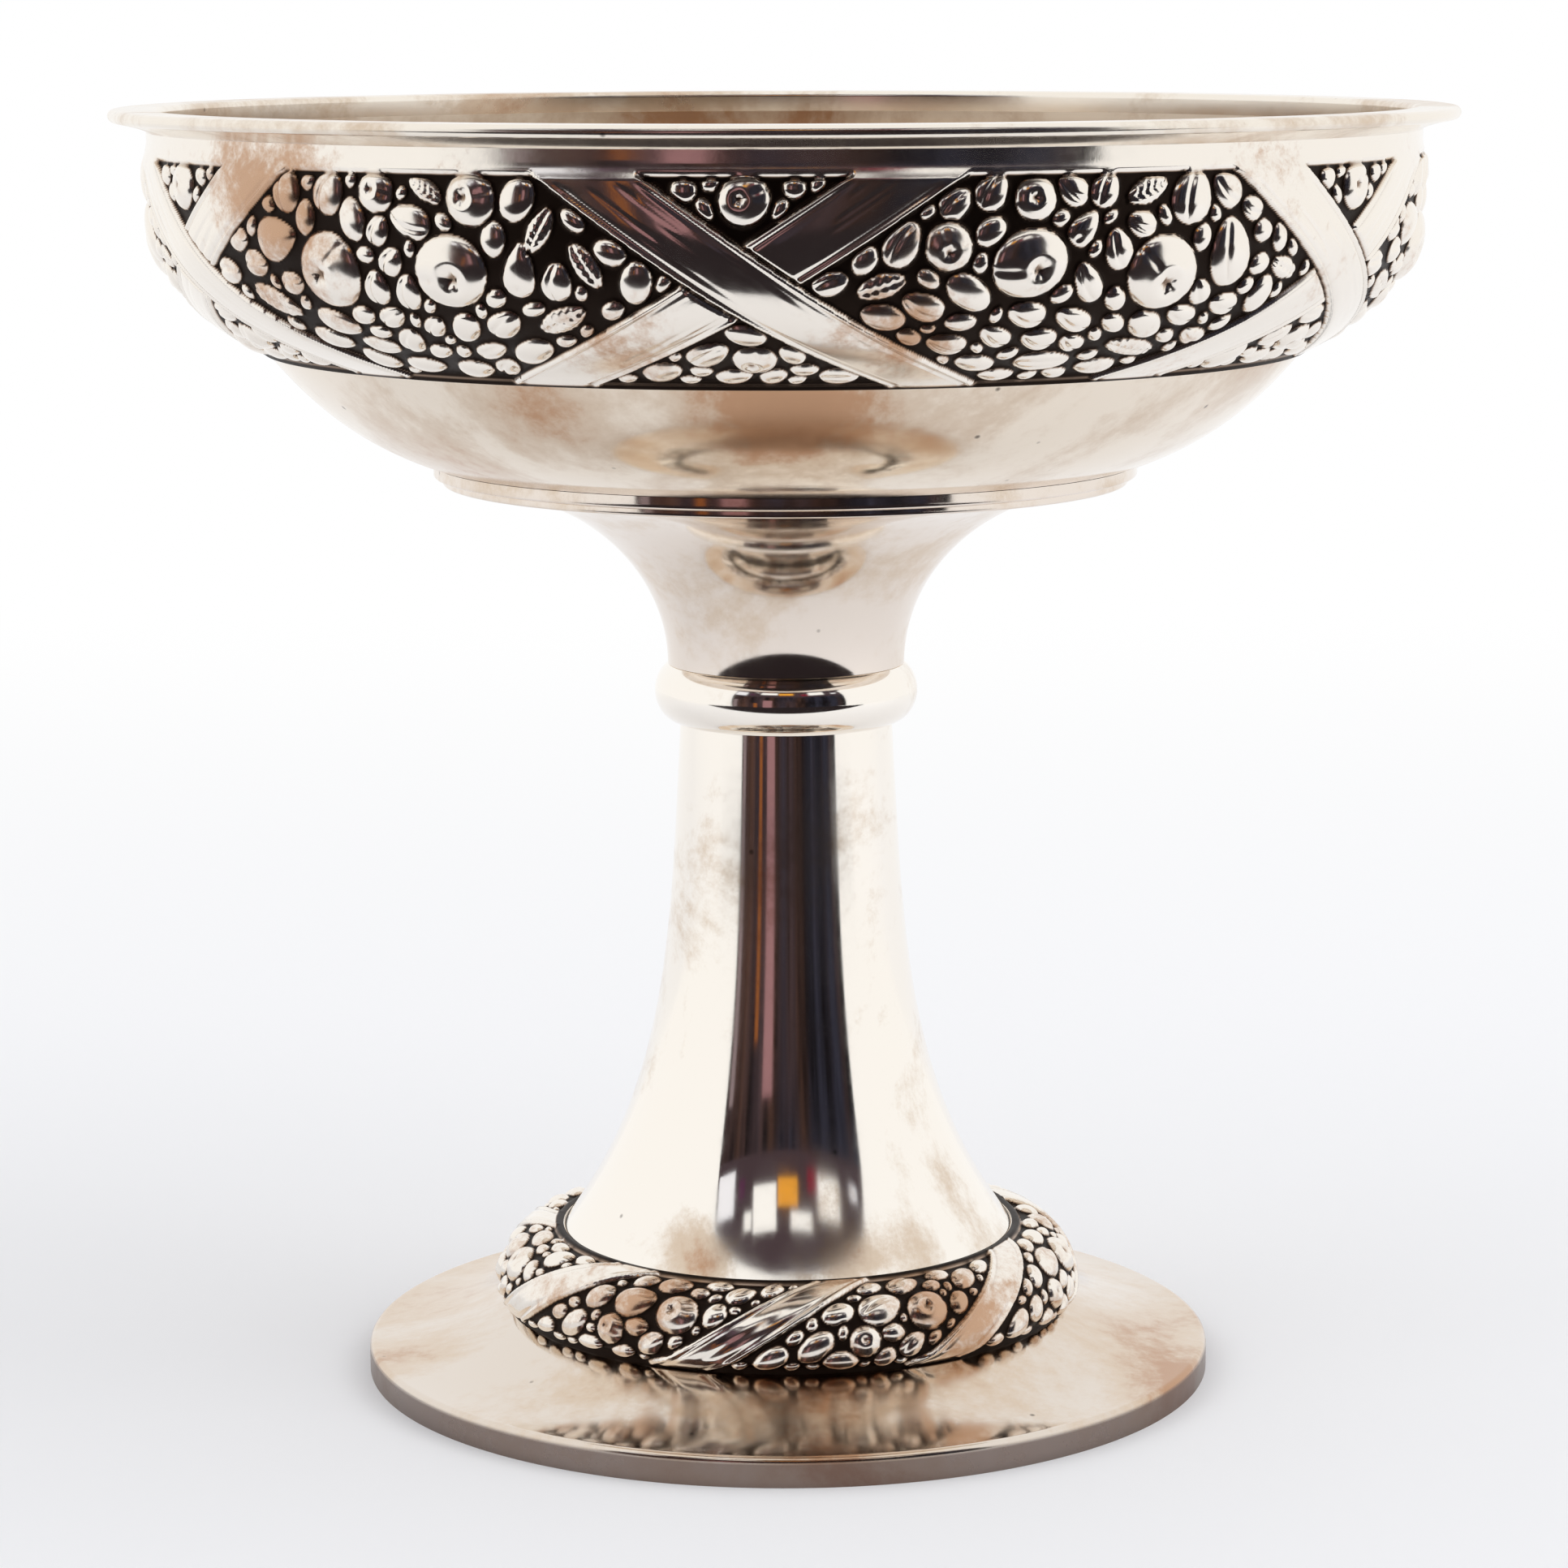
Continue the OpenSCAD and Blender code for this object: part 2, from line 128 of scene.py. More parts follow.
def leftward(line):
    """The way to the left at each point: the outline's own direction (r, z), turned to (-z, r)."""
    run = np.gradient(line, axis=0)
    return np.stack([-run[:, 1], run[:, 0]], axis=1) / np.linalg.norm(run, axis=1)[:, None]


def inset(line, depth):
    """The outline moved to its left by a depth."""
    return line + depth * leftward(line)

# %% Meshes
def spun(r, z, angles):
    """Grid of points round the axis: x = r sin(angle), y = -r cos(angle), z = height."""
    return np.stack(np.broadcast_arrays(r * np.sin(angles), -r * np.cos(angles), z), axis=-1)


def turn(outline, angles):
    """Grid of points: the outline at each angle."""
    return spun(outline[:, :1], outline[:, 1:], angles)


def grid_faces(rows, columns, wrap_rows, wrap_columns):
    """Four corners of every face between neighbouring rows and columns, which may join up again."""
    row = np.arange(rows if wrap_rows else rows - 1)[:, None]
    column = np.arange(columns if wrap_columns else columns - 1)[None, :]
    next_row, next_column = (row + 1) % rows, (column + 1) % columns
    corners = [
        row * columns + column,
        row * columns + next_column,
        next_row * columns + next_column,
        next_row * columns + column,
    ]
    return np.stack(np.broadcast_arrays(*corners), axis=-1).reshape(-1, 4)


def volume(points, faces):
    """Six times the signed volume inside the faces: it is positive where they point outwards."""
    a, b, c, d = (points[faces[:, k]] for k in range(4))
    return np.sum(np.cross(a, b) * c) + np.sum(np.cross(a, c) * d)


def fan(loop):
    """An end face as triangles, written as quads with a doubled corner, to count its volume."""
    return [[loop[0], loop[k], loop[k + 1], loop[k + 1]] for k in range(1, len(loop) - 1)]


def place_mesh(name, points, faces):
    """A new object from points in millimetres and faces."""
    mesh = bpy.data.meshes.new(name)
    mesh.from_pydata((points * MM).tolist(), [], faces)
    placed = bpy.data.objects.new(name, mesh)
    bpy.context.scene.collection.objects.link(placed)
    return placed


def make_mesh(name, points, quads, sharp_angle=35, ends=()):
    """A smooth piece, its quads turned outwards, with end faces. Where two corners of a quad fall
    together, at the tip of a bowl, it becomes a triangle."""
    closing = np.array([face for end in ends for face in fan(end)], int).reshape(-1, 4)
    if volume(points, np.concatenate([quads, closing])) < 0:
        quads = quads[:, ::-1]
        ends = [end[::-1] for end in ends]
    at_start, at_end = quads[:, 0] == quads[:, 1], quads[:, 2] == quads[:, 3]
    whole = quads[~(at_start | at_end)].tolist()
    tips = quads[at_start][:, [0, 2, 3]].tolist() + quads[at_end][:, [0, 1, 2]].tolist()
    piece = place_mesh(name, points, whole + tips + [list(map(int, end)) for end in ends])
    piece.data.shade_smooth()
    piece.data.set_sharp_from_angle(angle=math.radians(sharp_angle))
    print(name, len(piece.data.vertices), "vertices,", len(piece.data.polygons), "faces")
    return piece


def lathe(name, outline, columns):
    """A piece turned about the axis. A closed outline makes a ring, and one that starts and ends
    on the axis makes a bowl, whose centre points become one vertex each."""
    angles = np.linspace(0, 2 * np.pi, columns, endpoint=False)
    points = turn(outline, angles).reshape(-1, 3)
    on_axis = outline[0, 0] < 1e-6
    quads = grid_faces(len(outline), columns, wrap_rows=not on_axis, wrap_columns=True)
    if on_axis:
        keep = np.arange(len(points))
        keep[:columns] = 0
        keep[-columns:] = len(points) - columns
        used, number = np.unique(keep, return_inverse=True)
        points, quads = points[used], number[quads]
    return make_mesh(name, points, quads)

# %% [markdown]
# ## Camera
# The photograph was taken from a little above the rim, looking down. The camera's place, tilt and
# lens were fitted to the outline of the bowl, so they are kept as plain values here.

# %% Camera
SENSOR_MM = 36
FRAME_PX = 1932
focal_px, centre_px = 5639, 968.9
camera_y, camera_z = -862.5, 263.2
tilt, roll = math.radians(9.87), math.radians(0.171)

camera_data = bpy.data.cameras.new("camera")
camera_data.sensor_width = SENSOR_MM
camera_data.lens = SENSOR_MM * focal_px / FRAME_PX
camera_data.shift_x = (FRAME_PX / 2 - centre_px) / FRAME_PX
camera_data.clip_start = 0.05
camera = bpy.data.objects.new("camera", camera_data)
bpy.context.scene.collection.objects.link(camera)
camera.matrix_world = (
    Matrix.Translation(Vector((0, camera_y, camera_z)) * MM)
    @ Matrix.Rotation(math.radians(90) - tilt, 4, "X")
    @ Matrix.Rotation(-roll, 4, "Z")
)
bpy.context.scene.camera = camera
bpy.context.scene.view_settings.view_transform = "Standard"
print("lens", round(camera_data.lens, 2), "mm")

# %% [markdown]
# ## Colours and nodes
# Colours are written as hex values, the way a paint chart gives them, and one function turns them
# into the linear values that light is added up in. Another small function adds a node.

# %% Colour, scale and node helpers
def colour(hex_code):
    """An sRGB hex colour as linear red, green, blue and alpha."""
    srgb = np.array([int(hex_code[k:k + 2], 16) for k in (1, 3, 5)]) / 255
    linear = np.where(srgb <= 0.04045, srgb / 12.92, ((srgb + 0.055) / 1.055) ** 2.4)
    return (*linear.tolist(), 1.0)


def per(size_mm):
    """The texture scale whose features are about that many millimetres across."""
    return 1 / (size_mm * MM)


SMOOTH, COLOURS = {"interpolation_type": "SMOOTHSTEP"}, {"data_type": "RGBA"}


def add(tree, kind, inputs, output=0, **settings):
    """Adds a node and returns one of its outputs. Kind is its type without ShaderNode in front, and
    settings are its attributes. An input is a value, or a socket to link from."""
    node = tree.nodes.new("ShaderNode" + kind)
    for name, value in settings.items():
        setattr(node, name, value)
    for key, value in inputs.items():
        if isinstance(value, bpy.types.NodeSocket):
            tree.links.new(value, node.inputs[key])
        else:
            node.inputs[key].default_value = value
    return node.outputs[output] if node.outputs else None


def new_material(name):
    """An empty material and its node tree."""
    print("material", name)
    material = bpy.data.materials.new(name)
    material.use_nodes = True
    material.node_tree.nodes.clear()
    return material, material.node_tree

# %% [markdown]
# ## Surroundings
# Polished silver shows the room rather than itself. White paper lies under and behind the bowl,
# and the room in front of it is dark, with a row of windows high up. So the dark room is built as
# screens that only reflections see, and the light stays the plain light of a white studio.

# %% World and paper
world = bpy.data.worlds.new("studio")
world.use_nodes = True
bpy.context.scene.world = world
tree = world.node_tree
tree.nodes.clear()
rays = add(tree, "LightPath", {}).node.outputs
seen = rays["Is Camera Ray"]
for ray in ("Is Glossy Ray", "Is Transmission Ray"):
    seen = add(tree, "Math", {0: seen, 1: rays[ray]}, operation="MAXIMUM")
lit = add(tree, "Background", {"Color": colour("#FBFBFD"), "Strength": 0.86})
white = add(tree, "Background", {"Color": colour("#FFFFFF"), "Strength": 1.0})
mixed = add(tree, "MixShader", {0: seen, 1: lit, 2: white})
add(tree, "OutputWorld", {"Surface": mixed})


def stage_sheet(name, points):
    """A sheet through a grid of points in millimetres that is there for the picture alone."""
    rows, columns = points.shape[:2]
    screen = place_mesh(name, points.reshape(-1, 3), grid_faces(rows, columns, False, False).tolist())
    return screen


# The paper is lit like any matt surface near the bowl and fades to plain white behind and beside it
PAPER_HALF = 9000
FADE_BEHIND, FADE_BESIDE = (-100, 1100), (350, 1500)
across, along = np.meshgrid(*[np.linspace(-PAPER_HALF, PAPER_HALF, 3)] * 2)
paper = stage_sheet("paper", np.stack([across, along, np.zeros_like(across)], axis=-1))
material, tree = new_material("matt white paper")
place = add(tree, "TexCoord", {}, "Object")
place = add(tree, "SeparateXYZ", {0: place}).node.outputs
aside = add(tree, "Math", {0: place["X"]}, operation="ABSOLUTE")
behind, beside = [
    add(tree, "MapRange", {"Value": away, "From Min": start * MM, "From Max": end * MM}, **SMOOTH)
    for away, (start, end) in ((place["Y"], FADE_BEHIND), (aside, FADE_BESIDE))]
far = add(tree, "Math", {0: behind, 1: beside}, operation="MAXIMUM")
matt = add(tree, "BsdfDiffuse", {"Color": colour("#F7F8FA")})
white = add(tree, "Emission", {"Color": colour("#FFFFFF"), "Strength": 1.0})
mixed = add(tree, "MixShader", {0: far, 1: matt, 2: white})
add(tree, "OutputMaterial", {"Surface": mixed})
paper.data.materials.append(material)
print("paper", 2 * PAPER_HALF * MM, "m square")

# %% Dark room in front of the bowl, for reflections only
def round_wall(name, radius, levels, columns=48):
    """A stage wall about the axis. Each level is a height with the azimuths of the wall's ends."""
    z, start, end = np.array(levels, float).T[:, :, None]
    angle = np.radians(start + (end - start) * np.linspace(0, 1, columns))
    return stage_sheet(name, spun(radius, z, angle))


def only_reflected(screen):
    """Hides a screen from everything but mirrors."""
    for ray in ("camera", "diffuse", "shadow", "transmission", "volume_scatter"):
        setattr(screen, "visible_" + ray, False)


ROOM_R, WALL_LOW_Z, PANE_GAP = 1300, -300, 20
TABLE_HALF_W, TABLE_START_Y, TABLE_END_Y, TABLE_Z = 900, -1600, -300, 2


def at_elevation(degrees):
    """Height on the room's wall that is seen from the bowl's foot at an angle above the level."""
    return ROOM_R * math.tan(math.radians(degrees))


# The dark opening is as wide as the room up to its windows, and rounds off above them
wall = round_wall("room_wall", ROOM_R, [(WALL_LOW_Z, -47, 53), (at_elevation(30), -49, 53)])
upper_wall = round_wall("room_upper_wall", ROOM_R, [
    (at_elevation(elevation), start, end) for elevation, start, end in
    [(30, -49, 53), (43, -49, 51), (47, -44, 46), (51, -34, 38), (54, -22, 26), (56, -8, 10)]])
corners = np.meshgrid([-TABLE_HALF_W, TABLE_HALF_W], [TABLE_START_Y, TABLE_END_Y])
table = stage_sheet("room_table", np.stack([*corners, np.full((2, 2), TABLE_Z)], axis=-1))

# %% What the screens give off
def glow(material, tree, shade):
    """Makes a material give off one shade, a colour or a socket."""
    light = add(tree, "Emission", {"Color": shade, "Strength": 1.0})
    add(tree, "OutputMaterial", {"Surface": light})
    return material


# The wall is a row of dark upright streaks, some of them warm and some cool
material, tree = new_material("dark room")
place = add(tree, "TexCoord", {}, "Object")
stretched = add(tree, "Mapping", {"Vector": place, "Scale": (1, 1, 0.12)})
streaks = add(tree, "TexNoise", {"Vector": stretched, "Scale": per(160), "Detail": 5.0, "Roughness": 0.65})
tints = add(tree, "TexNoise", {"Vector": stretched, "Scale": per(420), "Detail": 2.0})
tone = add(tree, "MapRange", {"Value": streaks, "From Min": 0.35, "From Max": 0.68})
cool = add(tree, "MapRange", {"Value": tints, "From Min": 0.42, "From Max": 0.58})
hue = add(tree, "Mix", {0: cool, 6: colour("#5A4138"), 7: colour("#3B3C4C")}, 2, **COLOURS)
dark = add(tree, "Mix", {0: tone, 6: colour("#151214"), 7: hue}, 2, **COLOURS)
wall.data.materials.append(glow(material, tree, dark))
upper_wall.data.materials.append(glow(*new_material("plum ceiling"), colour("#46393E")))
table.data.materials.append(glow(*new_material("dark table"), colour("#2A2426")))

# Bright panes, and coloured streaks below them: azimuths and elevations in degrees, and a colour
PANES = [(-48, -37, 32, 41, "#F4F6FF"), (-30, -25, 41, 45, "#FFFFFF"), (-24, -8, 36, 46, "#FFFFFF"),
         (-7, 7, 35, 41, "#E8A23C"), (2, 17, 42, 46, "#FFFFFF"), (21, 36, 34, 43, "#FFFFFF"),
         (43, 48, 34, 37, "#F4F6FF"), (14, 21, 33, 38, "#7E2233"), (-34, -30, 34, 38, "#54304A"),
         (-20, -12, -4, 20, "#9C7478"), (-28, -25, -10, 12, "#93582F"), (-46, -43, -30, 20, "#8C7C80")]
for number, (start, end, bottom, top, tint) in enumerate(PANES, 1):
    edges = [(at_elevation(elevation), start, end) for elevation in (bottom, top)]
    pane = round_wall(f"window_{number}", ROOM_R - PANE_GAP, edges, columns=6)
    pane.data.materials.append(glow(*new_material(f"window {number}"), colour(tint)))
    only_reflected(pane)
for screen in (wall, upper_wall, table):
    only_reflected(screen)
print("room screens", 3 + len(PANES))

# %% Soft lamps at both sides
AIM_Z = 120


def soft_lamp(name, place, size, watts):
    """A square lamp that is turned to the stem. Mirrors don't see it, only what is matt."""
    data = bpy.data.lights.new(name, "AREA")
    data.size = size * MM
    data.energy = watts
    lamp = bpy.data.objects.new(name, data)
    lamp.location = Vector(place) * MM
    aim = Vector((0, 0, AIM_Z)) * MM - lamp.location
    lamp.rotation_euler = aim.to_track_quat("-Z", "Y").to_euler()
    lamp.visible_glossy = False
    bpy.context.scene.collection.objects.link(lamp)
    print(name, watts, "W")


soft_lamp("lamp_right", (1100, -300, 1100), 1100, 5.0)
soft_lamp("lamp_left", (-1200, -500, 1000), 1000, 2.5)

# %% [markdown]
# ## Silver plate
# Electroplated silver on brass, buffed to a mirror and then left to tarnish. The eye gets a warm
# white mirror, straw and tan clouds where the sulphur film is thicker, a few dark pits, and a
# slight wobble in the reflections, because hand-finished sheet is never quite true.

# %% Tarnish and metal
SPOT_STAIN_AND_SHADE = 0.22


def tarnish(tree, place, clouds, mottle, share, stain_and_shade_spots):
    """The film's thickness and its fine mottle. Film = clouds + share x mottle, and up to
    SPOT_STAIN_AND_SHADE more at each spot, which is a point and a radius in millimetres. Most spots
    are stains; two on the bowl's dish are painted shade."""
    clouds, mottle = [
        add(tree, "TexNoise", {"Vector": place, **noise}) for noise in (clouds, mottle)]
    film = add(tree, "Math", {0: mottle, 1: share, 2: clouds}, operation="MULTIPLY_ADD")
    for *spot, radius in stain_and_shade_spots:
        far = add(tree, "VectorMath", {0: place, 1: Vector(spot) * MM}, "Value", operation="DISTANCE")
        near = add(tree, "MapRange", {
            "Value": far, "From Max": radius * MM, "To Min": SPOT_STAIN_AND_SHADE, "To Max": 0.0}, **SMOOTH)
        film = add(tree, "Math", {0: film, 1: near}, operation="ADD")
    return film, mottle


def layered(tree, body, layers):
    """A colour with others laid over it, each of them a share and a hex colour."""
    for share, tint in layers:
        body = add(tree, "Mix", {0: share, 6: body, 7: colour(tint)}, 2, **COLOURS)
    return body


def metal(tree, body, dull, bumps):
    """A metal surface: it reflects in its own colour, and is as sharp a mirror as it isn't dull."""
    shader = add(tree, "BsdfPrincipled", {
        "Base Color": body, "Metallic": 1.0, "Roughness": dull, "Normal": bumps})
    add(tree, "OutputMaterial", {"Surface": shader})

# %% Polished silver
WORN_RISE, RUBBED_RISE = 10, 0.8
WOBBLE_H, GRAIN_H = 0.06, 0.0015


def silver_plate(name, clean, stain, rough, stain_and_shade_spots=(), dull_below=0.0, worn_above=0.0):
    """Polished silver plate. Clean is its colour where it is bright, stain the share of it that is
    tarnished, rough the least roughness. Below a height in millimetres the plate is dull and brown,
    as an edge is that hands and shelves rub, and above another it is worn matt by what lay in it."""
    material, tree = new_material(name)
    place = add(tree, "TexCoord", {}, "Object")
    film, mottle = tarnish(
        tree, place, {"Scale": per(46), "Detail": 8.0, "Roughness": 0.6, "Distortion": 0.8},
        {"Scale": per(3.5), "Detail": 5.0, "Roughness": 0.7}, 0.3, stain_and_shade_spots)
    straw = add(tree, "MapRange", {
        "Value": film, "From Min": 0.68 - 0.2 * stain, "From Max": 0.9 - 0.2 * stain}, **SMOOTH)
    tan = add(tree, "MapRange", {
        "Value": film, "From Min": 0.9 - 0.25 * stain, "From Max": 1.12 - 0.25 * stain,
        "To Max": 0.85}, **SMOOTH)
    pits = add(tree, "TexVoronoi", {"Vector": place, "Scale": per(13)})
    pit = add(tree, "MapRange", {
        "Value": pits, "From Min": 0.02, "From Max": 0.05, "To Min": 0.75, "To Max": 0.0})
    layers = [(straw, "#DAC7B2"), (tan, "#B98B67"), (pit, "#3A2E28")]
    dull = add(tree, "MapRange", {
        "Value": film, "From Min": 0.5, "From Max": 1.1, "To Min": rough, "To Max": rough + 0.18})
    height = add(tree, "SeparateXYZ", {0: place}, "Z")
    if worn_above:
        worn = add(tree, "MapRange", {
            "Value": height, "From Min": worn_above * MM, "From Max": (worn_above + WORN_RISE) * MM,
            "To Max": 0.3})
        dull = add(tree, "Math", {0: dull, 1: worn}, operation="ADD")
    if dull_below:
        rubbed = add(tree, "MapRange", {
            "Value": height, "From Min": dull_below * MM, "From Max": (dull_below + RUBBED_RISE) * MM,
            "To Min": 0.8, "To Max": 0.0})
        layers.append((rubbed, "#6B5A56"))
        dull = add(tree, "Math", {0: rubbed, 1: 0.2, 2: dull}, operation="MULTIPLY_ADD")
    wobble = add(tree, "TexNoise", {"Vector": place, "Scale": per(38), "Detail": 1.0, "Roughness": 0.4})
    waves = add(tree, "Bump", {"Distance": WOBBLE_H * MM, "Height": wobble})
    grain = add(tree, "Bump", {"Distance": GRAIN_H * MM, "Height": mottle, "Normal": waves})
    metal(tree, layered(tree, colour(clean), layers), dull, grain)
    return material


foot_silver = silver_plate("silver plate, foot", "#E2D7CB", 0.7, 0.08, [
    (70, -35, 6, 25), (-76, -20, 6, 24), (4, -70, 8, 42)], dull_below=4.2)
stem_silver = silver_plate("silver plate, stem", "#FBF5EC", 0.12, 0.05, [
    (24, -36, 32, 13), (-19, -38, 33, 12), (-14, -40, 30, 9), (13, -40, 31, 9)])
funnel_silver = silver_plate("silver plate, funnel", "#EBE0D5", 0.35, 0.05)
# Spots (0, -90) and (0, -94) are painted shade on the dish's front, where it mirrors the shaded foot
bowl_silver = silver_plate("silver plate, bowl", "#F0E4D4", 0.65, 0.07, [
    (-75, -90, 233, 30), (0, 117, 236, 42), (-45, -80, 195, 24), (0, -90, 192, 26), (0, -94, 200, 30),
    (88, -52, 198, 22), (-26, 114, 238, 28)], worn_above=220)
rim_silver = silver_plate("silver plate, rim", "#F4ECE0", 0.35, 0.16, [
    (-60, 105, 240, 30), (-20, 118, 240, 30)])
wire_silver = silver_plate("silver plate, base wire", "#DDCDB9", 0.8, 0.3)


def dress(piece, material, slot, *nodes):
    """Gives a piece its material; if it stands for solids, it joins the root body and they are
    hidden. The slot is not used.
    """
    piece.data.materials.clear()
    piece.data.materials.append(material)
    if nodes:
        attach(piece, "root")
        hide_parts(*nodes)

# %% [markdown]
# ## Foot, stem, knop, funnel and seat ring
# Each of these was spun or turned, so each is one outline turned about the axis. The solids have
# the same outlines in straight facets, which a mirror finish would show as bands. Here every
# curve is worked out from its formula in far finer steps.

# %% Foot plate
foot_flat_r = foot_r - foot_edge_round
collar_foot_r = collar_core_r + (collar_r - collar_core_r) * math.cos(math.radians(collar_low_turn))


def plate_top(r):
    """Height = edge height + rise x (share of the way in from the edge) ^ power. The solid's power is
    1.25. With 2 it lies up to 1.2 mm lower and mirrors the funnel beside the collar, as the real one
    does."""
    way_in = (foot_flat_r - r) / (foot_flat_r - collar_foot_r)
    return foot_edge_h + (collar_z - foot_edge_h) * way_in ** foot_power


slope_r = np.linspace(foot_flat_r, collar_foot_r, 60)
slope = np.stack([slope_r, plate_top(slope_r)], axis=1)
under = slope[::-1][slope[::-1, 0] < foot_r - foot_wall] - [0, foot_wall]
edge_low_z = foot_edge_h - foot_edge_round
foot_outline = dense(join(
    [foot_r, 0],
    arc([foot_flat_r, edge_low_z], [foot_edge_round] * 2, 0, 90, 14),
    slope,
    [hole_r, collar_z],
    [hole_r, collar_z - foot_wall],
    under,
    [[foot_r - foot_wall, edge_low_z], [foot_r - foot_wall, 0]],
), 1.0)
foot = lathe("foot_plate_silver", foot_outline, 320)
dress(foot, foot_silver, "polished_silver", "foot_plate")

# %% Stem
t = np.linspace(1, 0, 140)
stem_r = stem_top_r + stem_taper * t + (stem_foot_r - stem_top_r - stem_taper) * t ** stem_power
stem_outer = np.stack([stem_r, stem_z + (knop_z - stem_z) * (1 - t)], axis=1)
stem_inner = stem_outer[::-4] - [stem_wall, 0]
stem = lathe("stem_silver", dense(join(stem_outer, stem_inner), 4.0), 288)
dress(stem, stem_silver, "polished_silver", "stem")

# %% Knop
low_share, high_share = np.sin(np.radians([knop_low_turn, knop_high_turn]))
knop_half = (funnel_z - knop_z) / (low_share + high_share)
knop_centre = [knop_core_r, knop_z + knop_half * low_share]
bead = arc(knop_centre, [knop_r - knop_core_r, knop_half], -knop_low_turn, knop_high_turn, 56)
knop = lathe("knop_silver", dense(join([knop_bore_r, knop_z], bead, [knop_bore_r, funnel_z]), 1.0), 224)
dress(knop, stem_silver, "polished_silver", "knop")

# %% Funnel
outer_half = np.array([funnel_mouth_r - funnel_neck_r, funnel_h])
inner_half = outer_half + funnel_wall
floor_angle = math.degrees(math.asin(funnel_wall / inner_half[1]))
edge_centre_r = funnel_mouth_r + funnel_edge - edge_round
spigot_z = knop_z - spigot_depth
funnel_outline = dense(join(
    [[spigot_r - funnel_wall, spigot_z], [spigot_r, spigot_z], [spigot_r, funnel_z]],
    arc([funnel_mouth_r, funnel_z], outer_half, 180, 90, 90),
    arc([edge_centre_r, seat_z - funnel_wall + edge_round], [edge_round] * 2, -90, 0, 8),
    arc([edge_centre_r, seat_z - edge_round], [edge_round] * 2, 0, 90, 8),
    arc([funnel_mouth_r, funnel_z], inner_half, 90, 180 - floor_angle, 40),
    [spigot_r - funnel_wall, funnel_z + funnel_wall],
), 1.5)
funnel = lathe("funnel_silver", funnel_outline, 256)
dress(funnel, funnel_silver, "polished_silver", "funnel")

# %% Seat ring
def dish_lift(r):
    """Height above the dish's centre = rise x (r / dish radius) ^ 4.6."""
    return dish_rise * (r / dish_r) ** dish_power


# The ring's face and the funnel's edge are upright here, so that they mirror the room as one dark
# band. The solids' are round all over.
ring_inner_r = funnel_mouth_r - funnel_wall - ring_lap
ring_top_r = np.linspace(seat_r, ring_inner_r, 14)
ring_top = np.stack([ring_top_r, dish_z + dish_lift(ring_top_r) - seam], axis=1)
ring_outline = dense(join(
    [ring_inner_r, seat_z],
    arc([seat_r - edge_round, seat_z + edge_round], [edge_round] * 2, -90, 0, 8),
    ring_top,
), 0.8)
seat_ring = lathe("seat_ring_silver", ring_outline, 256)
dress(seat_ring, funnel_silver, "polished_silver", "seat_ring")

# %% [markdown]
# ## Bowl and rim
# The bowl is one sheet. Its plain dish and its inside are turned here, and the chased band is
# laid over the same sheet afterwards, as six panels that start at the dish's edge.

# %% Bowl body
def band_line(t, step):
    """Outline of the band at a share of its height: r = low + (r max - low)(1 - (1 - t)^power),
    less the cove near the top. Step is how far the band stands out from the dish at its foot."""
    low_r = dish_r + step
    cove = np.sin(np.radians(90) * np.clip((t - cove_low_share) / (cove_high_share - cove_low_share), 0, 1))
    r = low_r + (bowl_r - low_r) * (1 - (1 - t) ** band_power) - cove_depth * cove
    return np.stack([r, dish_z + dish_rise + band_h * t], axis=1)


BACKING_INSET = 1.36
dish_radii = np.linspace(0, dish_r, 130)
dish_line = np.stack([dish_radii, dish_z + dish_lift(dish_radii)], axis=1)
plain_band = band_line(np.linspace(0, 1, 90), 0)
backing = inset(plain_band, BACKING_INSET)[2:-1]
inside = inset(join(dish_line, plain_band), bowl_wall)[::-1][1:-1]
body_outline = join(
    dish_line,
    backing,
    [[neck_r - BACKING_INSET, bowl_top_z], [neck_r - bowl_wall, bowl_top_z]],
    inside,
    [0, dish_z + bowl_wall],
)
body = lathe("bowl_body_silver", body_outline, 224)
dress(body, bowl_silver, "polished_silver", "bowl")

# %% Rim moulding
rim_inner_r = neck_r - bowl_wall
rim_centre = [rim_r - rim_round, top_z - rim_round]
t = np.linspace(0, 1, 30)
rim_low_z = top_z - 2 * rim_round
hollow_r = neck_r + (rim_centre[0] - neck_r) * t
hollow_z = bowl_top_z + (rim_low_z - bowl_top_z) * t ** rim_hollow_power
hollow = np.stack([hollow_r, hollow_z], axis=1)
rim_outline = dense(join(
    [rim_inner_r, bowl_top_z],
    hollow,
    arc(rim_centre, [rim_round] * 2, -90, 90, 24),
    arc([rim_inner_r + rim_round, top_z - rim_round], [rim_round] * 2, 90, 180, 12),
), 0.8)
rim = lathe("rim_silver", rim_outline, 320)
dress(rim, rim_silver, "polished_silver", "rim_moulding")

# %% [markdown]
# ## Chased work
# The band and the collar were pressed out from behind and then chased from the front: every
# fruit is a small dome, and the ground between them is punched down and has gone black. Such a
# surface could be sculpted, but it is also simply a height above the plain wall at each point,
# so it is drawn here as a height map. Motifs are stamped into it one after the other, and the
# later ones cut into the earlier ones, as chased work does.

# %% The height map
GROUND = -1.25
GROOVE_W = 0.45


def relief_sheet(angles, period, line):
    """A height map over angles in degrees and lengths up an outline in millimetres."""
    return {"angle": angles, "period": period, "up": run_length(line), "radius": line[:, 0],
            "height": np.full((len(line), len(angles)), GROUND)}


def away(sheet, angle):
    """Degrees from an angle to each column, the short way round the period."""
    half = sheet["period"] / 2
    return (sheet["angle"] - angle + half) % sheet["period"] - half


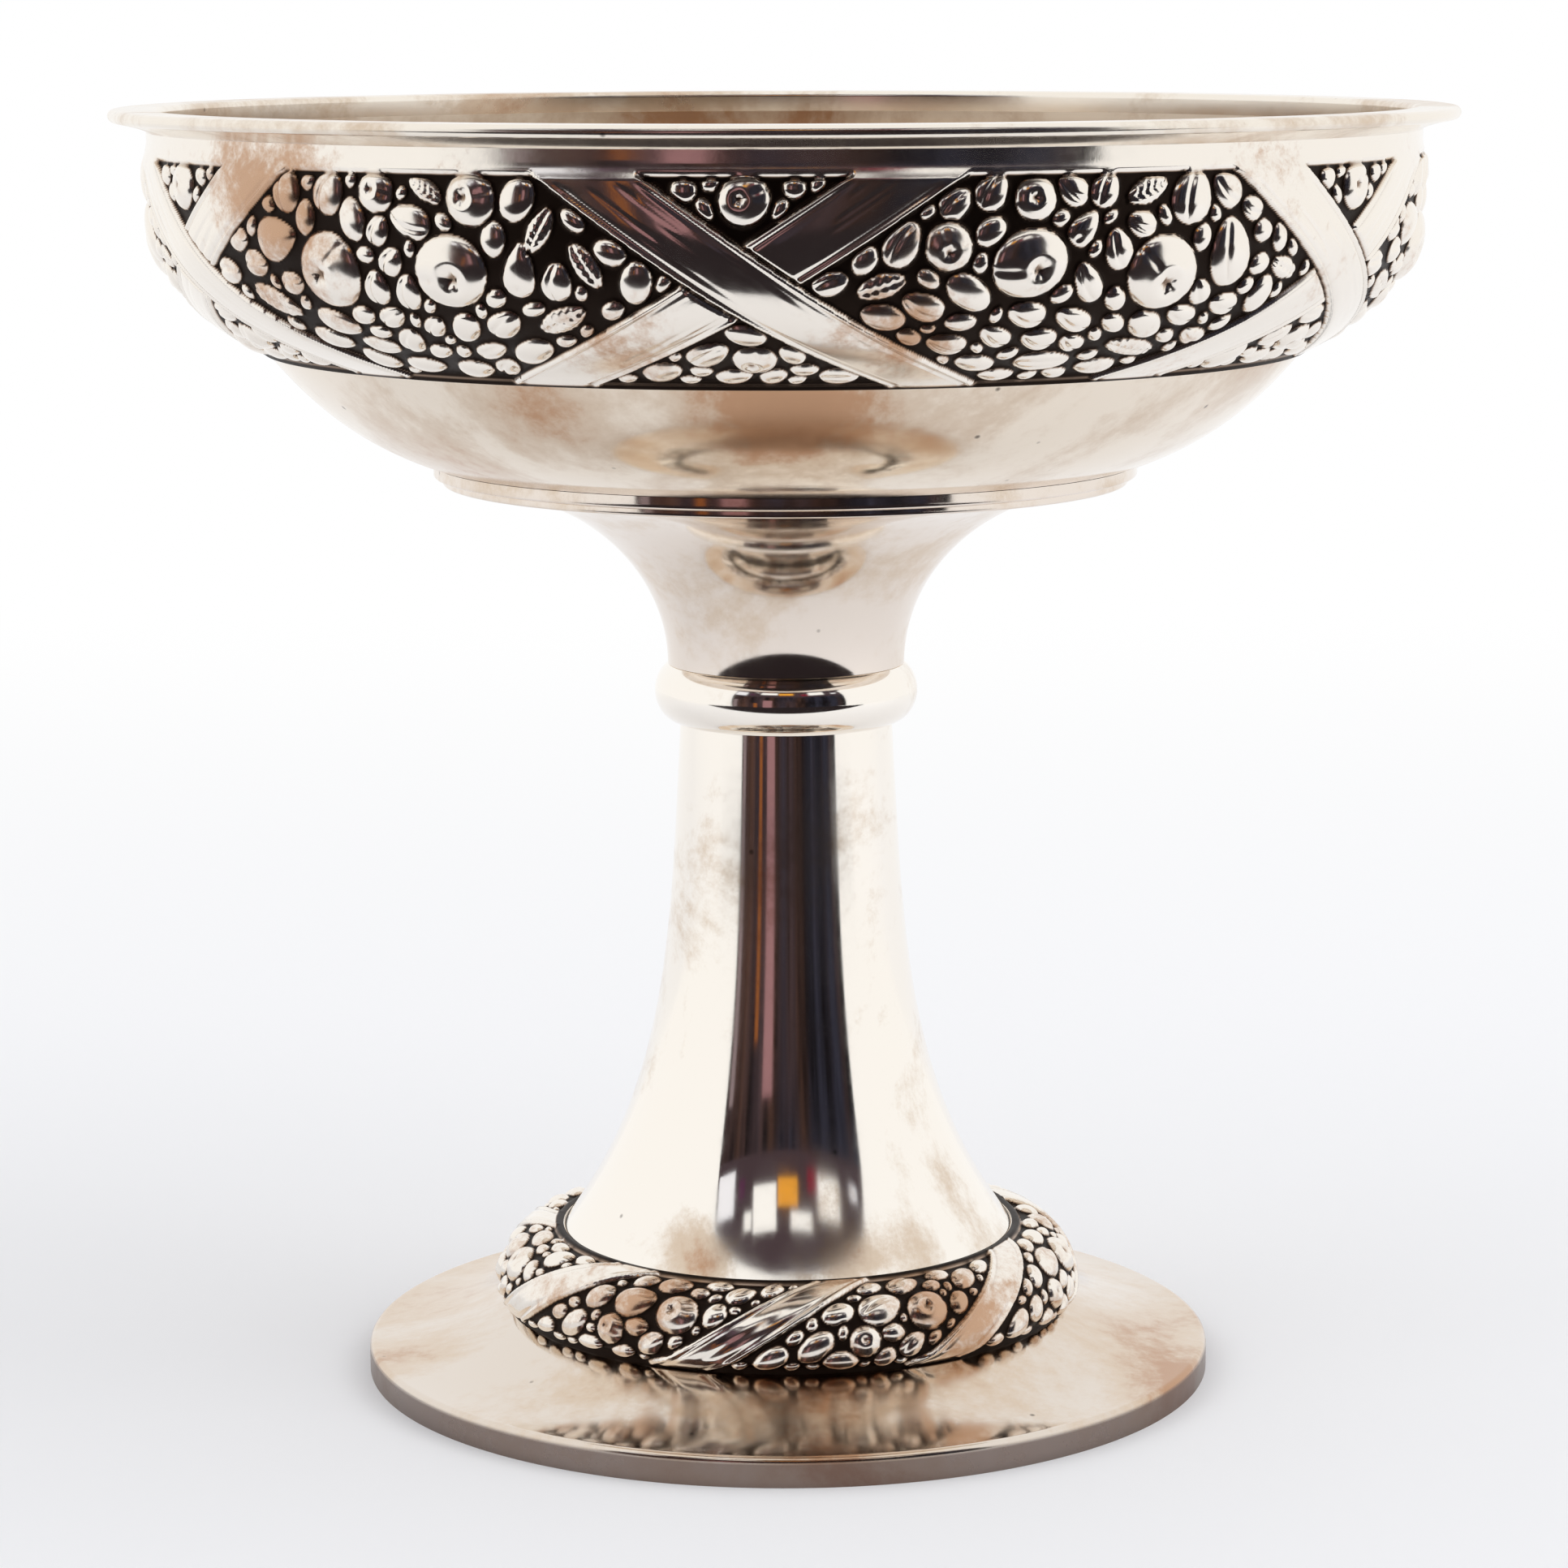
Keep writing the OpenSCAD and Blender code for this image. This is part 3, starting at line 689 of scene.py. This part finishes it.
def offsets(sheet, angle, up):
    """Millimetres to the right of a place and above it, for each column and each row of the map."""
    radius = np.interp(up, sheet["up"], sheet["radius"])
    return np.radians(away(sheet, angle))[None, :] * radius, (sheet["up"] - up)[:, None]


def smooth(start, end, value):
    """Smooth step: 0 before start, 1 after end, 3t^2 - 2t^3 between."""
    t = np.clip((value - start) / (end - start), 0, 1)
    return t * t * (3 - 2 * t)


def dome(rho, high):
    """Height of a dome: high x (1 - rho^2)^0.5, where rho is the share of the way to its edge."""
    return high * np.clip(1 - rho ** 2, 0, None) ** 0.5


def ridge(distance, width):
    """A soft ridge, or a groove where it is taken away: exp(-(distance / width)^2)."""
    return np.exp(-(distance / width) ** 2)

# %% Motifs, as functions of u along and v across, both 1 at the edge
def berry(u, v, long, wide):
    """A plain dome: rho^2 = u^2 + v^2."""
    rho = np.hypot(u, v)
    return rho, dome(rho, 0.55 + 0.3 * wide)


def apple(u, v, long, wide):
    """A dome with a deep eye off its middle, sepals in the eye, a lip round it and a crease from it."""
    rho = np.hypot(u, v)
    du, dv = (u + 0.1) * long, (v - 0.14) * wide
    far, spin = np.hypot(du, dv), np.arctan2(dv, du)
    eye = 0.24 * wide
    height = dome(rho, 0.8 + 0.24 * wide) - (0.3 + 0.12 * wide) * ridge(far, eye)
    height += 0.3 * ridge(far - 0.75 * eye, 0.35 * eye) * (0.5 + 0.5 * np.cos(5 * spin))
    height += 0.14 * ridge(far - 1.8 * eye, 0.6 * eye)
    height -= 0.22 * ridge(dv + 0.3 * du, 0.6) * smooth(1.3 * eye, 2.4 * eye, du)
    return rho, height


def plum(u, v, long, wide):
    """An egg with a curved crease from end to end."""
    rho = np.hypot(u, v / (1 - 0.18 * u))
    crease = (v - 0.35 * (1 - u ** 2)) * wide
    return rho, dome(rho, 0.6 + 0.26 * wide) - 0.4 * ridge(crease, 0.38) * smooth(1.0, 0.7, np.abs(u))


def pear(u, v, long, wide):
    """An egg with a narrow end, and a pit at the wide one."""
    rho = np.hypot(u, v / (0.95 - 0.35 * u))
    far = np.hypot((u + 0.62) * long, v * wide)
    return rho, dome(rho, 0.6 + 0.25 * wide) - 0.35 * ridge(far, 0.6)


def leaf(u, v, long, wide):
    """A pointed leaf with toothed edges: width = (1 - u^2)(1 + teeth), with a midrib and veins."""
    teeth = 0.1 * np.abs(np.sin(np.pi * 3.5 * (u + 1)))
    half = np.clip(1 - u ** 2, 0, None) ** 0.8 * (0.92 + teeth) + 1e-3
    rho = np.maximum(np.abs(v) / half, np.abs(u))
    veins = np.sin(2 * np.pi * (1.6 * u * long / wide - 1.1 * np.abs(v)))
    height = 0.75 * np.clip(1 - rho ** 4, 0, None) ** 0.5 + 0.35 * (1 - rho)
    return rho, height - 0.35 * ridge(v * wide, 0.3) - 0.12 * veins * smooth(1.0, 0.6, rho)

# %% Pressing fruit and ribbons into the map
LINE_H, LINE_IN, LINE_W = 0.2, 0.55, 0.3
CUT_H, CUT_IN, CUT_W = 0.35, 1.25, 0.25
CROWN_H, STROKE_W = 0.12, 0.2


def motif_axes(x, y, long, wide, turn):
    """A motif's u and v: the offsets, turned by its angle, as shares of its half lengths."""
    cos, sin = math.cos(math.radians(turn)), math.sin(math.radians(turn))
    return (x * cos + y * sin) / long, (y * cos - x * sin) / wide


def motif_clearance(sheet, angle, up, long, wide, turn):
    """About the millimetres from each point of the map to a motif's edge: (rho - 1) x half width."""
    return (np.hypot(*motif_axes(*offsets(sheet, angle, up), long, wide, turn)) - 1) * min(long, wide)


def stamp(sheet, motif, angle, up, long, wide, turn):
    """Presses a motif of two half lengths into the map, and chases a groove round it."""
    x, y = offsets(sheet, angle, up)
    reach = 1.5 * max(long, wide) + 1
    rows, columns = np.flatnonzero(np.abs(y) < reach), np.flatnonzero(np.abs(x) < reach)
    rho, height = motif(*motif_axes(x[:, columns], y[rows], long, wide, turn), long, wide)
    outside = (rho - 1) * min(long, wide)
    window = np.ix_(rows, columns)
    before = sheet["height"][window]
    groove = GROUND + (before - GROUND) * smooth(0.35 * GROOVE_W, GROOVE_W, outside)
    sheet["height"][window] = np.where(outside < 0, GROUND + height, np.minimum(before, groove))


def ribbon_clearance(sheet, angle, up, slope, half_w):
    """Millimetres from each point of the map to a ribbon's edge."""
    x, y = offsets(sheet, angle, up)
    return np.abs(x - slope * y) / math.hypot(1, slope) - half_w


def strokes(random, count, reach):
    """Fine strokes along a ribbon: place across it, start, end and depth of each."""
    place = random.uniform(-0.72, 0.72, count)
    start = random.uniform(-reach, reach * 0.8, count)
    return [(p, s, s + length, depth) for p, s, length, depth in zip(
        place, start, random.uniform(6, 22, count), random.uniform(0.05, 0.16, count))]


def ribbon(sheet, angle, up, slope, half_w, marks, rise=1.0, top=None):
    """A ribbon across the map, slightly crowned: a raised line and a cut one along each edge, and
    fine strokes. Below a top level, where there is one, it runs out into the plain wall."""
    x, y = offsets(sheet, angle, up)
    stretch = math.hypot(1, slope)
    across, along = (x - slope * y) / stretch, (y + slope * x) / stretch
    edge = half_w - np.abs(across)
    height = GROUND + rise + CROWN_H * (1 - (across / half_w) ** 2)
    height = height + LINE_H * ridge(edge - LINE_IN, LINE_W) - CUT_H * ridge(edge - CUT_IN, CUT_W)
    for place, start, end, depth in marks:
        fade = smooth(start - 1.5, start + 1.5, along) * smooth(end + 3, end - 3, along)
        height = height - depth * ridge(across - place * half_w, STROKE_W) * fade
    if top is not None:
        height = height * (1 - smooth(top - 4, top - 0.5, sheet["up"])[:, None])
    before = sheet["height"]
    groove = GROUND + (before - GROUND) * smooth(0.2, 0.8, -edge)
    sheet["height"] = np.where(edge > 0, height, np.minimum(before, groove))


def soften(height, times):
    """Blurs the map a little each time, by 1-2-1 weights along both directions."""
    for _ in range(times):
        height = (np.roll(height, 1, axis=1) + 2 * height + np.roll(height, -1, axis=1)) / 4
        inner = (height[:-2] + 2 * height[1:-1] + height[2:]) / 4
        height = np.concatenate([height[:1], inner, height[-1:]])
    return height

# %% Chasing a whole map
# The room for berries is measured at every second row and column
COARSE = 2


def fill_gaps(sheet, room, random, widest, least, gap):
    """Puts a berry or plum into the largest free circle again and again, stretched the way that has
    most room. Gap is the black ground left between two of them."""
    room = room[::COARSE, ::COARSE].copy()
    thin = {**sheet, **{key: sheet[key][::COARSE] for key in ("up", "radius", "angle")}}
    turns = np.arange(0, 180, 20)
    way = np.stack([np.sin(np.radians(turns)), np.cos(np.radians(turns))])
    count = 0
    while room.max() > least:
        row, column = np.unravel_index(room.argmax(), room.shape)
        wide = min(room[row, column], widest * random.uniform(0.75, 1))
        cell = [thin["up"][1], math.radians(thin["angle"][1] - thin["angle"][0]) * thin["radius"][row]]
        step = np.round(0.8 * wide * way / np.array(cell)[:, None]).astype(int)
        spare = np.minimum(*(
            room[np.clip(row + side * step[0], 0, len(room) - 1), (column + side * step[1]) % room.shape[1]]
            for side in (1, -1)))
        best = spare.argmax()
        long = wide * np.clip(0.8 + spare[best] / wide, 1, random.uniform(1.25, 1.8))
        kind = berry if wide < 2.2 or random.random() < 0.6 else plum
        spot = (thin["angle"][column], thin["up"][row], long, wide, turns[best])
        stamp(sheet, kind, *spot)
        room = np.minimum(room, motif_clearance(thin, *spot) - gap)
        count += 1
    return count


def chase(sheet, room, random, ribbons, ribbon_gap, fruit, sizes, marks, fades, **form):
    """Chases the map: berries in the room that ribbons and fruit leave, the fruit and then the ribbons,
    each with a count of strokes of some reach. Along two fades the relief dies away into the wall."""
    for place in ribbons:
        room = np.minimum(room, ribbon_clearance(sheet, *place) - ribbon_gap)
    for _, *place in fruit:
        room = np.minimum(room, motif_clearance(sheet, *place) - sizes["gap"])
    berries = fill_gaps(sheet, room, random, **sizes)
    for motif in fruit:
        stamp(sheet, *motif)
    for place in ribbons:
        ribbon(sheet, *place, strokes(random, *marks), **form)
    plain = sum(smooth(*fade, sheet["up"]) for fade in fades)
    sheet["height"] = soften(sheet["height"] * (1 - plain[:, None]), 1)
    print("motifs", len(fruit), "berries", berries, "heights", sheet["height"].min(), sheet["height"].max())

# %% [markdown]
# ## The band's pattern
# Two ribbons cross six times round the bowl. Between the crossings lie fields of fruit: apples,
# plums, pears and leaves at listed places, and berries wherever there is room.

# %% Band: map and motifs
BAND_ROWS, PANEL_COLUMNS, PANELS = 150, 480, 6
CROSSING, CROSSING_UP, SLOPES = -3.6, 27.5, (1.5, -1.38)
RIBBON_HALF, BAND_GAP = 5.4, 0.3
RELIEF_LOW, RELIEF_TOP = 0.9, 45.9

band_front = even(band_line(np.linspace(0, 1, 4001), band_step), BAND_ROWS)
pair_angles = np.arange(2 * PANEL_COLUMNS) / PANEL_COLUMNS * 60 + CROSSING
band = relief_sheet(pair_angles, 120, band_front)
print("band map", band["height"].shape)

# Kind, degrees right of the field's middle, millimetres up the band, half lengths and turn
FIELDS = [[
    (plum, -9.7, 43.0, 3.6, 2.9, 60), (apple, -6.0, 41.6, 3.9, 3.9, 30), (plum, 0.2, 43.0, 3.4, 2.8, 70),
    (leaf, 4.2, 42.6, 4.6, 2.4, 20), (plum, 8.7, 41.4, 5.0, 4.3, 80),
    (apple, -13.2, 33.8, 4.4, 4.2, 120), (apple, -6.2, 30.6, 7.0, 6.3, 200), (pear, -1.6, 36.6, 3.6, 2.6, 50),
    (plum, 1.7, 32.8, 3.9, 2.8, 110), (apple, 6.4, 28.2, 7.4, 7.0, 150), (plum, 13.4, 31.4, 6.5, 4.6, 100),
    (berry, 17.0, 35.0, 2.4, 2.2, 0), (berry, 17.2, 29.0, 2.6, 2.1, 20), (leaf, 20.6, 28.0, 4.2, 2.2, 160),
    (leaf, -18.6, 27.0, 4.6, 2.5, 20), (plum, -15.0, 23.0, 4.2, 2.8, 150), (plum, -1.2, 19.4, 4.2, 2.5, 150),
    (berry, 3.0, 18.2, 3.0, 2.0, 140), (plum, 10.0, 19.4, 3.6, 2.4, 160), (plum, 14.4, 21.4, 3.6, 2.5, 170),
    (leaf, 6.6, 11.4, 6.2, 2.6, 165), (plum, -8.0, 15.8, 3.6, 2.4, 140), (plum, 13.2, 13.6, 3.8, 2.3, 150),
], [
    (plum, -12.0, 42.6, 4.4, 3.6, 80), (plum, -6.8, 42.2, 4.2, 3.5, 60), (apple, -1.6, 42.4, 3.9, 3.8, 0),
    (leaf, 3.4, 43.0, 4.0, 2.0, 150), (apple, 7.6, 41.6, 4.8, 4.8, 30),
    (plum, -19.6, 33.4, 3.2, 2.6, 0), (pear, -13.8, 33.8, 5.6, 4.2, 10), (apple, -7.6, 28.4, 7.4, 7.0, 60),
    (plum, -1.6, 36.0, 3.0, 2.4, 60), (plum, -0.6, 30.6, 3.0, 2.5, 50), (apple, 5.2, 29.0, 7.2, 6.8, 200),
    (pear, 11.6, 29.6, 5.2, 3.1, 80), (leaf, 13.6, 36.6, 4.6, 2.2, 60), (leaf, 17.4, 30.6, 4.8, 2.3, 120),
    (plum, -13.0, 25.6, 3.2, 2.4, 10), (leaf, -16.6, 21.6, 6.4, 3.0, 155), (plum, -2.4, 19.4, 3.4, 2.3, 30),
    (plum, 1.8, 17.6, 3.0, 2.1, 50), (plum, 9.0, 18.6, 4.0, 2.8, 40), (leaf, 14.6, 20.0, 5.4, 2.6, 30),
    (plum, -6.4, 11.6, 4.2, 2.4, 170), (plum, 6.2, 11.4, 3.8, 2.2, 30), (berry, 0.4, 10.6, 2.8, 2.0, 30),
]]
# The same for the triangles above and below a crossing, in degrees right of it
TRIANGLES = [
    (apple, 0.4, 41.8, 4.6, 4.4, 40), (berry, -4.4, 43.4, 2.4, 2.2, 0), (berry, 4.4, 43.8, 2.1, 1.9, 0),
    (apple, 0.9, 10.0, 4.0, 3.9, 90), (berry, -4.2, 6.0, 2.1, 1.8, 0), (berry, 5.4, 6.6, 2.6, 2.0, 0),
]

# %% Band: stamp it
random = np.random.default_rng(7)
up = band["up"][:, None]
fruit = [(kind, CROSSING + 30 + 60 * side + across, *rest)
         for side, field in enumerate(FIELDS) for kind, across, *rest in field]
fruit += [(kind, CROSSING + 60 * side + across, *rest)
          for side in (0, 1) for kind, across, *rest in TRIANGLES]
ribbons = [(CROSSING + 60 * side, CROSSING_UP, slope, RIBBON_HALF) for side in (0, 1) for slope in SLOPES]
room = np.minimum(up - RELIEF_LOW - BAND_GAP, RELIEF_TOP - 0.2 - up)
chase(band, room, random, ribbons, BAND_GAP, fruit, {"widest": 3.4, "least": 1.1, "gap": BAND_GAP},
      (16, 30), [(RELIEF_TOP - 0.3, RELIEF_TOP + 0.5), (RELIEF_LOW, RELIEF_LOW - 0.5)], top=RELIEF_TOP)

# %% [markdown]
# ## From map to metal
# Each point of the plain wall is moved along the wall's own normal by its height. The black in
# the grooves follows the same map: what lies low, or lower than its surroundings, is never
# reached by the polishing cloth.

# %% Raise the map
def raised(line, angles, height):
    """Grid of points: the turned outline, moved away from its left side by the height map."""
    left = leftward(line)
    r, z = [line[:, k][:, None] - left[:, k][:, None] * height for k in (0, 1)]
    return spun(r, z, np.radians(angles))


BLACK_FROM, BLACK_AT = -0.75, -1.15
BLUR_TIMES, HOLLOW_H, HOLLOW_SHARE = 14, 0.42, 0.6


def recess(height):
    """How black each point is: deep ones, and ones lower than the map blurred round them."""
    hollow = np.clip((soften(height, BLUR_TIMES) - height) / HOLLOW_H, 0, 1)
    return np.clip(smooth(BLACK_FROM, BLACK_AT, height) + HOLLOW_SHARE * hollow, 0, 1)


def blacken(piece, shape, black):
    """Gives each point of a piece its black. The points after the chased front stay bright."""
    values = np.zeros(shape, np.float32)
    values[:len(black)] = black
    piece.data.attributes.new("recess", "FLOAT", "POINT").data.foreach_set("value", values.ravel())


def grid_normals(points):
    """Outward normals of a grid of points: the cross product of its two directions."""
    normal = np.cross(np.gradient(points, axis=1), np.gradient(points, axis=0))
    return normal / np.linalg.norm(normal, axis=-1, keepdims=True)

# %% Chased silver
CHASED_GRAIN_H = 0.01


def chased_silver(name, stain, stain_and_shade_spots=()):
    """Silver plate whose grooves were blackened with liver of sulphur and rubbed bright on top. Stain
    is the share of the bright metal that is tan with tarnish; on the collar it is also painted
    reflection of the brown that its fruit mirror."""
    material, tree = new_material(name)
    place = add(tree, "TexCoord", {}, "Object")
    low_places = add(tree, "Attribute", {}, "Fac", attribute_name="recess")
    film, mottle = tarnish(
        tree, place, {"Scale": per(30), "Detail": 7.0, "Roughness": 0.65},
        {"Scale": per(2.2), "Detail": 4.0, "Roughness": 0.7}, 0.4, stain_and_shade_spots)
    tan = add(tree, "MapRange", {
        "Value": film, "From Min": 0.8 - 0.2 * stain, "From Max": 1.06 - 0.2 * stain,
        "To Max": 0.85}, **SMOOTH)
    brown = add(tree, "MapRange", {
        "Value": low_places, "From Min": 0.04, "From Max": 0.5, "To Max": 0.85}, **SMOOTH)
    black = add(tree, "MapRange", {"Value": low_places, "From Min": 0.3, "From Max": 0.85}, **SMOOTH)
    body = layered(tree, colour("#F6EFE5"), [(tan, "#BD8F68"), (brown, "#8F6F55"), (black, "#29201B")])
    dull = add(tree, "MapRange", {
        "Value": film, "From Min": 0.5, "From Max": 1.1, "To Min": 0.1, "To Max": 0.28})
    dull = add(tree, "Math", {0: black, 1: 0.35, 2: dull}, operation="MULTIPLY_ADD")
    bumps = add(tree, "Bump", {"Distance": CHASED_GRAIN_H * MM, "Height": mottle})
    metal(tree, body, dull, bumps)
    return material


chased = chased_silver("chased silver plate, bowl", 0.1, [
    (-88, -78, 226, 34), (-28, -112, 208, 24), (20, -112, 206, 22)])
# Collar stain 0.55: partly tarnish, partly painted reflection of the brown that its fruit mirror
collar_silver = chased_silver("chased silver plate, collar", 0.55, [(30, -45, 22, 16), (-24, -48, 24, 16)])

# %% Band panels
PANEL_INSET, BACK_STEPS, BACK_ROWS, SEAM_W = 1.3, 60, 10, 0.9
back_line = inset(band_line(np.linspace(0, 1, BACK_STEPS), 0), PANEL_INSET)
back_line[-1] = [neck_r - PANEL_INSET, bowl_top_z]
back_line = back_line[np.linspace(1, BACK_STEPS - 1, BACK_ROWS).astype(int)][::-1]
# The seam along the band's foot is black as well, because no cloth gets into it
band_recess = np.maximum(recess(band["height"]), smooth(SEAM_W, SEAM_W / 2, band["up"])[:, None])


def band_panel(number):
    """One sixth of the band as a closed shell: the raised front, a plain back and two end faces. The
    normals take in one more column on each side, so that the light runs on over the seams."""
    steps = np.arange(-1, PANEL_COLUMNS + 2)
    columns = (steps + PANEL_COLUMNS * (number % 2)) % (2 * PANEL_COLUMNS)
    angles = CROSSING + 60 * (number + steps / PANEL_COLUMNS)
    wider = raised(band_front, angles, band["height"][:, columns])
    points = np.concatenate([wider[:, 1:-1], turn(back_line, np.radians(angles[1:-1]))])
    rows, across = points.shape[:2]
    quads = grid_faces(rows, across, wrap_rows=True, wrap_columns=False)
    first = np.arange(rows) * across
    ends = [first[::-1], first + across - 1]
    piece = make_mesh(f"band_panel_{number + 1}", points.reshape(-1, 3), quads, 50, ends)
    normals = np.zeros(rows * across * 3, np.float32)
    piece.data.vertices.foreach_get("normal", normals)
    normals = normals.reshape(-1, 3)
    normals[:BAND_ROWS * across] = grid_normals(wider)[:, 1:-1].reshape(-1, 3)
    piece.data.normals_split_custom_set_from_vertices(normals.tolist())
    blacken(piece, (rows, across), band_recess[:, columns[1:-1]])
    return piece


for number in range(PANELS):
    dress(band_panel(number), chased, "chased_silver", "bowl")

# %% [markdown]
# ## The collar's pattern
# Seven ribbons climb round the collar like the stripes of a rope, with the same fruit between
# them at a smaller scale. The collar's section is closed, so the whole ring is one grid of points,
# and the height map fades to nothing where the collar meets the stem and the foot.

# %% Collar
COLLAR_ROWS, COLLAR_COLUMNS, COLLAR_RIBBONS = 74, 1080, 7
COLLAR_LOW, COLLAR_PLAIN, COLLAR_MID = 0.6, 1.7, 11.5
COLLAR_SLOPE, COLLAR_HALF, COLLAR_FRONT = 1.45, 3.7, -5.0
STEM_GAP, COLLAR_GAP, COLLAR_RIBBON_GAP = 0.15, 0.15, 0.25

collar_centre = [collar_core_r, collar_z + collar_tuck]
collar_half = np.array([collar_r - collar_core_r, stem_z - collar_z + collar_crest - collar_tuck])
low_half = [collar_half[0], collar_tuck / math.sin(math.radians(collar_low_turn))]
recess_r = stem_foot_r + STEM_GAP
recess_turn = 90 + math.degrees(math.asin((collar_core_r - recess_r) / collar_half[0]))
fine = join(
    arc(collar_centre, low_half, -collar_low_turn, 0, 200),
    arc(collar_centre, collar_half, 0, recess_turn, 800),
)
collar_top = run_length(fine)[-1] - COLLAR_PLAIN
collar_front = even(fine, COLLAR_ROWS)
collar_back = join(
    [[recess_r, stem_z], [hole_r, stem_z], [hole_r, stem_z - ledge_wall]],
    arc(collar_centre, collar_half - ledge_wall, 90, 0, 8),
    [collar_foot_r - ledge_wall, collar_z],
)
collar_angles = np.arange(COLLAR_COLUMNS) / COLLAR_COLUMNS * 360
garland = relief_sheet(collar_angles, 360, collar_front)
print("collar map", garland["height"].shape)

# %% Collar: pattern and mesh
COLLAR_FRUIT = [
    (apple, -17.5, 12.5, 4.4, 4.2, 30), (apple, -9.5, 6.5, 3.4, 3.2, 60), (plum, -27.5, 14.0, 4.6, 3.4, 20),
    (berry, -14.0, 18.0, 2.0, 1.6, 0), (apple, -31.5, 7.5, 3.2, 3.2, 0), (plum, -22.0, 6.0, 3.2, 2.2, 40),
]
starts = [COLLAR_FRONT + 360 / COLLAR_RIBBONS * k for k in range(COLLAR_RIBBONS)]
fruit = [(kind, (start + across) % 360, *rest) for start in starts for kind, across, *rest in COLLAR_FRUIT]
ribbons = [(start, COLLAR_MID, COLLAR_SLOPE, COLLAR_HALF) for start in starts]
up = garland["up"][:, None]
room = np.minimum(up - COLLAR_LOW, collar_top - up)
sizes = {"widest": 2.7, "least": 0.8, "gap": COLLAR_GAP}
chase(garland, room, random, ribbons, COLLAR_RIBBON_GAP, fruit, sizes, (9, 16),
      [(collar_top - 0.2, collar_top + 0.5), (COLLAR_LOW, 0.1)], rise=0.95)
front = raised(collar_front, collar_angles, garland["height"])
points = np.concatenate([front, turn(collar_back, np.radians(collar_angles))])
quads = grid_faces(*points.shape[:2], wrap_rows=True, wrap_columns=True)
collar = make_mesh("foot_collar_silver", points.reshape(-1, 3), quads, 50)
# The seams along the stem and the foot are black as well
seams = smooth(collar_top, collar_top + 0.5, up) + smooth(COLLAR_LOW, COLLAR_LOW - 0.3, up)
blacken(collar, points.shape[:2], np.maximum(recess(garland["height"]), seams))
dress(collar, collar_silver, "chased_silver", "foot_collar")

# %% [markdown]
# ## Pieces that keep their solids
# The base wire, the boss, the rod, the washer and the nut are plain turned or milled pieces that
# only show from below, so their own shapes serve. They only need their metals.

# %% Brass and steel
MARKS_H = 0.02


def plain_metal(name, bright, stained, rough):
    """Turned or milled metal, slightly patchy: two colours mixed by 12 mm clouds."""
    material, tree = new_material(name)
    place = add(tree, "TexCoord", {}, "Object")
    clouds = add(tree, "TexNoise", {"Vector": place, "Scale": per(12), "Detail": 5.0})
    dull = add(tree, "MapRange", {"Value": clouds, "To Min": rough, "To Max": rough + 0.2})
    turned = add(tree, "Mapping", {"Vector": place, "Scale": (1, 1, 12)})
    marks = add(tree, "TexNoise", {"Vector": turned, "Scale": per(3), "Detail": 3.0})
    bumps = add(tree, "Bump", {"Strength": 0.6, "Distance": MARKS_H * MM, "Height": marks})
    metal(tree, layered(tree, colour(bright), [(clouds, stained)]), dull, bumps)
    return material


brass = plain_metal("turned brass", "#D9B36A", "#8E6B3A", 0.3)
steel = plain_metal("plain steel", "#A9A8A4", "#6F6B66", 0.35)
for name, material, slot in [
    ("base_wire", wire_silver, "polished_silver"),
    ("bowl_boss", brass, "bare_brass"),
    ("tie_rod", steel, "fastener_steel"),
    ("foot_washer", steel, "fastener_steel"),
    ("tie_nut", steel, "fastener_steel"),
]:
    dress(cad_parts[name], material, slot)
